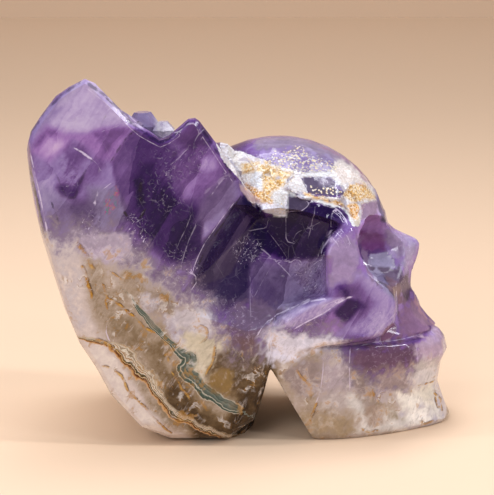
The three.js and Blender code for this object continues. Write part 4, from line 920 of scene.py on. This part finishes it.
# A MapRange takes a value, the low and high ends to read it between, and what those ends become.
def amethyst():
    material = bpy.data.materials.new("polishedChevronAmethyst")
    material.use_nodes = True
    tree = material.node_tree
    tree.nodes.clear()
    add = functools.partial(addNode, tree)
    field = {name: add("Attribute", attribute_name=name, out="Fac") for name in fieldNames}

    place = add("TexCoord", out="Object")
    mm = add("Mapping", {"Vector": place, "Scale": (1000, 1000, 1000)})
    sway = add("TexNoise", {"Vector": mm, "Scale": 1 / quartz["swaySize"], "Detail": 3}, out="Color")
    space = {
        "mm": mm,
        "swayed": add("VectorMath MULTIPLY_ADD", sway, quartz["sway"], mm),
        "straighter": add("VectorMath MULTIPLY_ADD", sway, quartz["slightSway"], mm),
    }
    for name in ("crystal", "fibre", "needle"):  # spaces drawn out along the leaning crystals
        space[name] = add("Mapping", {"Vector": space["straighter"], "Rotation": (0, quartz["lean"], 0),
                                      "Scale": quartz[name]}, vector_type="TEXTURE")
    mottle, fine, uneven, patch, cloud, ripple, lace, dust, streak, needle = (
        add("TexNoise", {"Vector": space[where], "Scale": 1 / size, "Detail": detail, "Roughness": roughness},
            out="Fac")
        for where, size, detail, roughness in quartz["noises"].values())
    crackGap, netGap, facetTone, sugar, crumb, grain = (
        add("TexVoronoi", {"Vector": space[where], "Scale": 1 / size}, feature=feature, out=output)
        for where, size, feature, output in quartz["cells"].values())

    # Crystals that grew side by side: each has its own tone, shades to one side, and ends in a point
    crystalTone = add("TexVoronoi", {"Vector": space["crystal"], "Scale": 1.0}, out="Color")
    crystal = crystalTone.node.outputs
    offset = add("VectorMath SUBTRACT", space["crystal"], crystal["Position"])
    slope = add("VectorMath SUBTRACT", crystalTone, (0.5, 0.5, 0.5))
    slope = add("VectorMath DOT_PRODUCT", offset, slope, out="Value")
    tone = add("MapRange", crystalTone, 0.2, 0.8, -0.12, 0.12)
    tone = add("Math MULTIPLY_ADD", slope, 0.3, tone)
    tone = add("*", tone, add("MapRange", field["violet"], 0.1, 0.4, 0.4, 1.0))

    # Growth bands: they show where no single crystal is cut along its length, and zigzag over the tips
    tips = add("Math MULTIPLY_ADD", crystal["Distance"], 7, field["aboveCloud"])
    tips = stirred(add, tips, mottle, 6)
    bands = add("ValToRGB", {"Fac": add("MapRange", tips, 0, 50)}, stops=quartz["bands"])
    ownDepth = shifted(add, add("+", field["violet"], tone), mottle, 0.08, 0.25)
    streakSize = add("MapRange", field["broken"], 0, 0.6, 0.16, 0.6)
    ownDepth = stirred(add, ownDepth, streak, streakSize)
    bandDepth = shifted(add, bands, mottle, 0.12, 0.25)
    bandShare = add("*", field["wild"], 0.85)
    depth = add("Mix", {0: bandShare, 2: ownDepth, 3: bandDepth})
    fineSize = add("MapRange", field["broken"], 0, 1, 0.08, 0.5)
    depth = add("+", depth, add("*", add("-", fine, 0.5), fineSize))
    depth = add("Mix", {0: field["tops"], 2: depth, 3: add("MapRange", mottle, 0.3, 0.7, 0.2, 0.42)})

    violet, smoky, rosy = (
        add("ValToRGB", {"Fac": depth}, stops=quartz[name]) for name in ("violet", "smoky", "rosy"))
    colour = add("MixRGB", add("Math MAXIMUM", field["smoke"], field["tops"]), violet, smoky)
    colour = add("MixRGB", field["rose"], colour, rosy)

    # Fractures: straight faint ones, a fine net where the quartz is broken, and flecks along the crystals
    crack = add("MapRange", crackGap, 0.018, 0.004)
    crack = add("*", crack, add("MapRange", patch, 0.54, 0.66, 0, 0.07))
    net = add("*", add("MapRange", netGap, 0.08, 0.03), add("MapRange", fine, 0.5, 0.6))
    net = add("*", net, add("*", field["broken"], 0.3))
    fleckLevel = add("Math MULTIPLY_ADD", field["broken"], -0.155, 0.8)
    flecks = add("MapRange", add("-", needle, fleckLevel), 0.0, 0.05, 0, 0.65)
    darkFlecks = add("*", add("MapRange", streak, 0.42, 0.34), add("*", field["broken"], 0.5))
    colour = add("MixRGB", darkFlecks, colour, quartz["darkFleck"])
    # Dark seams, with painted shade along the bevelled rims and in the mouth's groove.
    colour = add("MixRGB", lineCover(add, "seamAndShade", uneven), colour, quartz["seamAndShade"])
    bright = add("Math MAXIMUM", add("Math MAXIMUM", crack, net), flecks)

    # Milky quartz and chalcedony below the cloud line, reached through a haze drawn out along the crystals
    level = shifted(add, field["aboveCloud"], cloud, -5, 0.25)
    level = shifted(add, level, streak, -1.3)
    haze = add("MapRange", level, 6.5, 0.5, 0, 0.7, interpolation_type="SMOOTHSTEP")
    below = add("MapRange", level, 3.0, -4.5, interpolation_type="SMOOTHSTEP")
    milk = shifted(add, field["milk"], cloud, 0.35)
    milk = stirred(add, milk, fine, 0.7)
    milk = add("MapRange", milk, 0.3, 0.8)
    brown = shifted(add, field["brown"], mottle, 0.14, 0.25)
    brown = shifted(add, brown, fine, 0.06)
    chalcedony = add("ValToRGB", {"Fac": brown}, stops=quartz["chalcedony"])
    milky = add("ValToRGB", {"Fac": cloud}, stops=quartz["milky"])
    wisps = add("*", add("MapRange", streak, 0.52, 0.66), add("MapRange", cloud, 0.45, 0.6, 0, 0.6))
    ground = add("MixRGB", wisps, chalcedony, quartz["wisp"])
    edge = add("*", add("MapRange", level, -8, -1, 0, 0.75), add("MapRange", brown, 0.55, 0.85, 1, 0.15))
    ground = add("MixRGB", add("Math MAXIMUM", milk, edge), ground, milky)

    # Agate bands, the green one and the rust ones
    green = field["greenBand"]
    for pattern, reach in ((ripple, 0.28), (uneven, 0.14), (fine, 0.08)):
        green = shifted(add, green, pattern, reach)
    greenColour = add("ValToRGB", {"Fac": add("MapRange", green, -1.3, 1.3)}, stops=quartz["green"])
    greenOn = add("MapRange", add("Math ABSOLUTE", green), 1.25, 1.15)
    greenOn = add("*", greenOn, add("MapRange", patch, 0.3, 0.42, 0.6, 1.0))
    ground = add("MixRGB", greenOn, ground, greenColour)
    rust = add("*", field["rustBand"], add("MapRange", patch, 0.35, 0.65, 0.7, 1.4))
    for pattern, reach in ((ripple, 0.8), (uneven, 0.4), (fine, 0.25)):
        rust = shifted(add, rust, pattern, reach)
    rustPlace = add("MapRange", rust, -1.5, 4.5)
    rustColour = add("ValToRGB", {"Fac": rustPlace}, stops=quartz["rust"])
    rustOn = add("*", add("MapRange", rustPlace, 0.0, 0.05), add("MapRange", rustPlace, 0.9, 0.62))
    rustOn = add("*", rustOn, add("MapRange", streak, 0.36, 0.46, 0.45, 1.0))
    ground = add("MixRGB", rustOn, ground, rustColour)

    # Plumes in the chalcedony: each whitens towards a crisp edge, with an ochre line beyond it
    laceOn = add("*", add("MapRange", patch, 0.5, 0.6), add("MapRange", uneven, 0.42, 0.56))
    plume = add("*", add("MapRange", lace, 0.43, 0.5, 0, 0.65), add("MapRange", lace, 0.506, 0.5))
    ochreLace = add("MapRange", add("Math ABSOLUTE", add("-", lace, 0.514)), 0.014, 0.003, 0, 0.7)
    ground = add("MixRGB", add("*", plume, laceOn), ground, quartz["plume"])
    ground = add("MixRGB", add("*", ochreLace, laceOn), ground, quartz["ochreLace"])
    colour = add("MixRGB", haze, colour, quartz["haze"])
    colour = add("MixRGB", add("*", milk, 0.85), colour, quartz["milk"])
    colour = add("MixRGB", below, colour, ground)

    # Unpolished crust: white quartz facets, then the parts with their own colours and painted shade and
    # reflections, then sugary grains
    crustOn = add("MapRange", add("+", field["crust"], dust), 1.0, 1.1)
    white = add("ValToRGB", {"Fac": facetTone}, stops=quartz["crust"])
    colour = add("MixRGB", crustOn, colour, white)
    tint = add("Attribute", attribute_name="tint", out="Color")
    tintOn = stirred(add, tint.node.outputs["Alpha"], cloud, 0.5)
    tintOn = add("MapRange", tintOn, 0.15, 0.85)
    tintTone = add("MapRange", mottle, 0.3, 0.7, 0.82, 1.16)
    tintTone = add("*", tintTone, add("MapRange", fine, 0.3, 0.7, 0.9, 1.1))
    tinted = add("VectorMath SCALE", {0: tint, "Scale": tintTone})
    feather = add("*", add("MapRange", cloud, 0.5, 0.66, 0, 0.45), below)
    tinted = add("MixRGB", feather, tinted, quartz["feather"])
    vein = add("*", add("MapRange", streak, 0.46, 0.32, 0, 0.4), below)
    tinted = add("MixRGB", vein, tinted, quartz["vein"])
    colour = add("MixRGB", tintOn, colour, tinted)
    tintParts = add("SeparateColor", tint).node.outputs
    ochre = add("-", tintParts["Red"], tintParts["Blue"])
    ochre = add("*", add("MapRange", ochre, 0.18, 0.4), add("*", crustOn, tintOn))
    crumbs = add("ValToRGB", {"Fac": crumb}, stops=quartz["ochreCrumbs"])
    colour = add("MixRGB", add("*", ochre, 0.6), colour, crumbs)
    frost = add("*", add("MapRange", dust, 0.56, 0.64, 0, 0.3), crustOn)
    colour = add("MixRGB", frost, colour, quartz["frost"])
    pits = add("*", add("MapRange", sugar, 0.4, 0.65, 0, 0.3), crustOn)
    colour = add("MixRGB", pits, colour, quartz["pit"])
    grainShape = add("MapRange", grain.node.outputs["Distance"], 0.5, 0.38)
    grainOn = add("-", add("*", field["grains"], 0.62), grain)
    grainOn = add("MapRange", grainOn, 0, 0.04)
    grainColour = add("ValToRGB", {"Fac": dust}, stops=quartz["grains"])
    colour = add("MixRGB", add("*", grainShape, grainOn), colour, grainColour)

    # Ochre strokes and stains, bright fractures and painted highlights, and the fracture that splits the
    # light
    strokeColour = add("ValToRGB", {"Fac": fine}, stops=quartz["stroke"])
    strokeSide = add("MapRange", add("Attribute", attribute_name="strokeAcross", out="Fac"), 0.1, 0.7)
    strokeColour = add("MixRGB", strokeSide, strokeColour, quartz["strokeEdge"])
    stroke = add("*", lineCover(add, "stroke", uneven), add("MapRange", fine, 0.34, 0.46))
    stroke = add("*", stroke, add("-", 1.0, greenOn))
    colour = add("MixRGB", stroke, colour, strokeColour)
    stain = add("MapRange", add("+", mottle, add("*", fine, 0.3)), 0.73, 0.8, 0, 0.55)
    colour = add("MixRGB", add("*", stain, below), colour, quartz["stain"])
    bright = add("*", bright, add("MapRange", level, -6, -1))
    bright = add("Math MAXIMUM", bright, lineCover(add, "glint", uneven))
    colour = add("MixRGB", bright, colour, quartz["fractureAndHighlight"])
    rainbowColour = add("ValToRGB", {"Fac": fine}, stops=quartz["rainbow"])
    rainbowOn = add("MapRange", field["rainbow"], -0.3, 0.6)
    rainbowOn = add("*", rainbowOn, add("MapRange", streak, 0.46, 0.58, 0, 0.8))
    colour = add("MixRGB", rainbowOn, colour, rainbowColour)
    druseOn = add("*", field["druse"], add("MapRange", fine, 0.35, 0.6, 0.4, 0.95))
    colour = add("MixRGB", druseOn, colour, quartz["druse"])

    # Gloss: a wet polish with slight changes from place to place, and bare grain on the crust
    polish = add("MapRange", mottle, 0, 1, *quartz["polish"])
    rough = add("Mix", {0: crustOn, 2: polish, 3: quartz["crustRoughness"]})
    closed = add("Math MAXIMUM", add("Math MAXIMUM", below, crustOn), milk)
    paleness = add("MapRange", depth, 0.6, 0.1, 0, 0.6)  # the palest quartz is a little milky
    closed = add("Math MAXIMUM", add("Math MAXIMUM", closed, bright), paleness)
    closed = add("Math MAXIMUM", closed, add("*", tintOn, 0.7))
    darkness = add("MapRange", depth, 0.5, 0.95, 0, 0.7)  # and the darkest lets little light through
    closed = add("Math MAXIMUM", closed, darkness)
    clearness = add("MapRange", closed, 0, 1, quartz["clearness"], 0)
    relief = add("*", sugar, crustOn)
    bump = add("Bump", {"Height": relief, "Strength": 0.6, "Distance": quartz["grainHeight"]}, invert=True)
    shader = add("BsdfPrincipled", {
        "Base Color": colour, "Roughness": rough, "IOR": quartz["ior"], "Transmission Weight": clearness,
        "Normal": bump, "Specular IOR Level": quartz["specular"]})
    inside = add("VolumeAbsorption", {"Color": quartz["absorption"], "Density": quartz["density"]})
    surface = tree.nodes.new("ShaderNodeOutputMaterial")
    tree.links.new(shader, surface.inputs["Surface"])
    tree.links.new(inside, surface.inputs["Volume"])
    print("material has", len(tree.nodes), "nodes")
    return material


piece = makeStone()
growPattern(piece)
piece.data.materials.clear()
piece.data.materials.append(amethyst())
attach(piece, "root")
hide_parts("amethyst_skull")

# Floor, wall, light and camera

studio = {
    "floor": "#E6C9AA",
    "floorRoughness": 0.6,
    "floorSize": 12,      # m
    "wallSize": 6,        # m
    "wallBehind": 1.4,    # m
    "sky": "#E6EAF4",
    "skyStrength": 0.4,
    "lamp": "#F6F7FF",
    "lens": 139.64,       # mm
    "sensor": 36,         # mm
    "camera": (0.00065, -0.58689, 0.17965),  # m
    "cameraTilt": 78,     # degrees up from looking straight down
}

# Softboxes: what each points at, where it hangs, its width and height, in metres, and its power in watts.
middle = (0, 0, 0.05)
softboxes = {
    "bevelRight": ((-0.03, -0.03, 0.1), (0.175, -0.189, 0.242), (0.04, 0.055), 0.14),
    "overhead": (middle, (-0.1, 0.1, 0.75), (0.5, 0.3), 4),
    "right": (middle, (0.6, -0.15, 0.5), (0.04, 0.4), 1.4),
    "rightInner": (middle, (0.52, -0.15, 0.6), (0.04, 0.4), 1.0),
    "left": (middle, (-0.45, -0.12, 0.65), (0.035, 0.4), 1.2),
    "edgeLeft": ((-0.05, -0.03, 0.1), (-0.42, -0.8, 0.22), (0.02, 0.25), 0.4),
    "wallWash": ((0, 1.4, 0.25), (0, 0.95, 0.95), (1.6, 0.3), 3),
    "front": (middle, (-0.35, -0.9, 0.6), (0.5, 0.5), 4.3),
}


def makeFloor():
    bpy.ops.mesh.primitive_plane_add(size=studio["floorSize"], location=(0, 0, 0))
    floor = bpy.context.object
    floor.name = "floor"
    material = bpy.data.materials.new("paleFloor")
    material.use_nodes = True
    shader = material.node_tree.nodes["Principled BSDF"]
    shader.inputs["Base Color"].default_value = toLinear(studio["floor"])
    shader.inputs["Roughness"].default_value = studio["floorRoughness"]
    floor.data.materials.append(material)


def makeWall():
    bpy.ops.mesh.primitive_plane_add(
        size=studio["wallSize"], location=(0, studio["wallBehind"], 0), rotation=(math.radians(90), 0, 0))
    wall = bpy.context.object
    wall.name = "wall"
    wall.data.materials.append(bpy.data.materials["paleFloor"])


def makeLight():
    world = bpy.data.worlds.new("studio")
    world.use_nodes = True
    background = world.node_tree.nodes["Background"]
    background.inputs["Color"].default_value = toLinear(studio["sky"])
    background.inputs["Strength"].default_value = studio["skyStrength"]
    bpy.context.scene.world = world
    for name, (aim, place, size, power) in softboxes.items():
        light = bpy.data.lights.new(name, "AREA")
        light.shape = "RECTANGLE"
        light.size, light.size_y = size
        light.energy = power
        light.color = toLinear(studio["lamp"])[:3]
        lamp = bpy.data.objects.new(name, light)
        bpy.context.scene.collection.objects.link(lamp)
        lamp.location = place
        lamp.rotation_euler = (Vector(aim) - Vector(place)).to_track_quat("-Z", "Y").to_euler()


def makeCamera():
    camera = bpy.data.cameras.new("camera")
    camera.lens = studio["lens"]
    camera.sensor_width = studio["sensor"]
    holder = bpy.data.objects.new("camera", camera)
    bpy.context.scene.collection.objects.link(holder)
    holder.location = studio["camera"]
    holder.rotation_euler = (math.radians(studio["cameraTilt"]), 0, 0)
    bpy.context.scene.camera = holder


makeFloor()
makeWall()
makeLight()
makeCamera()
bpy.context.scene.view_settings.view_transform = "Standard"
print("studio set")
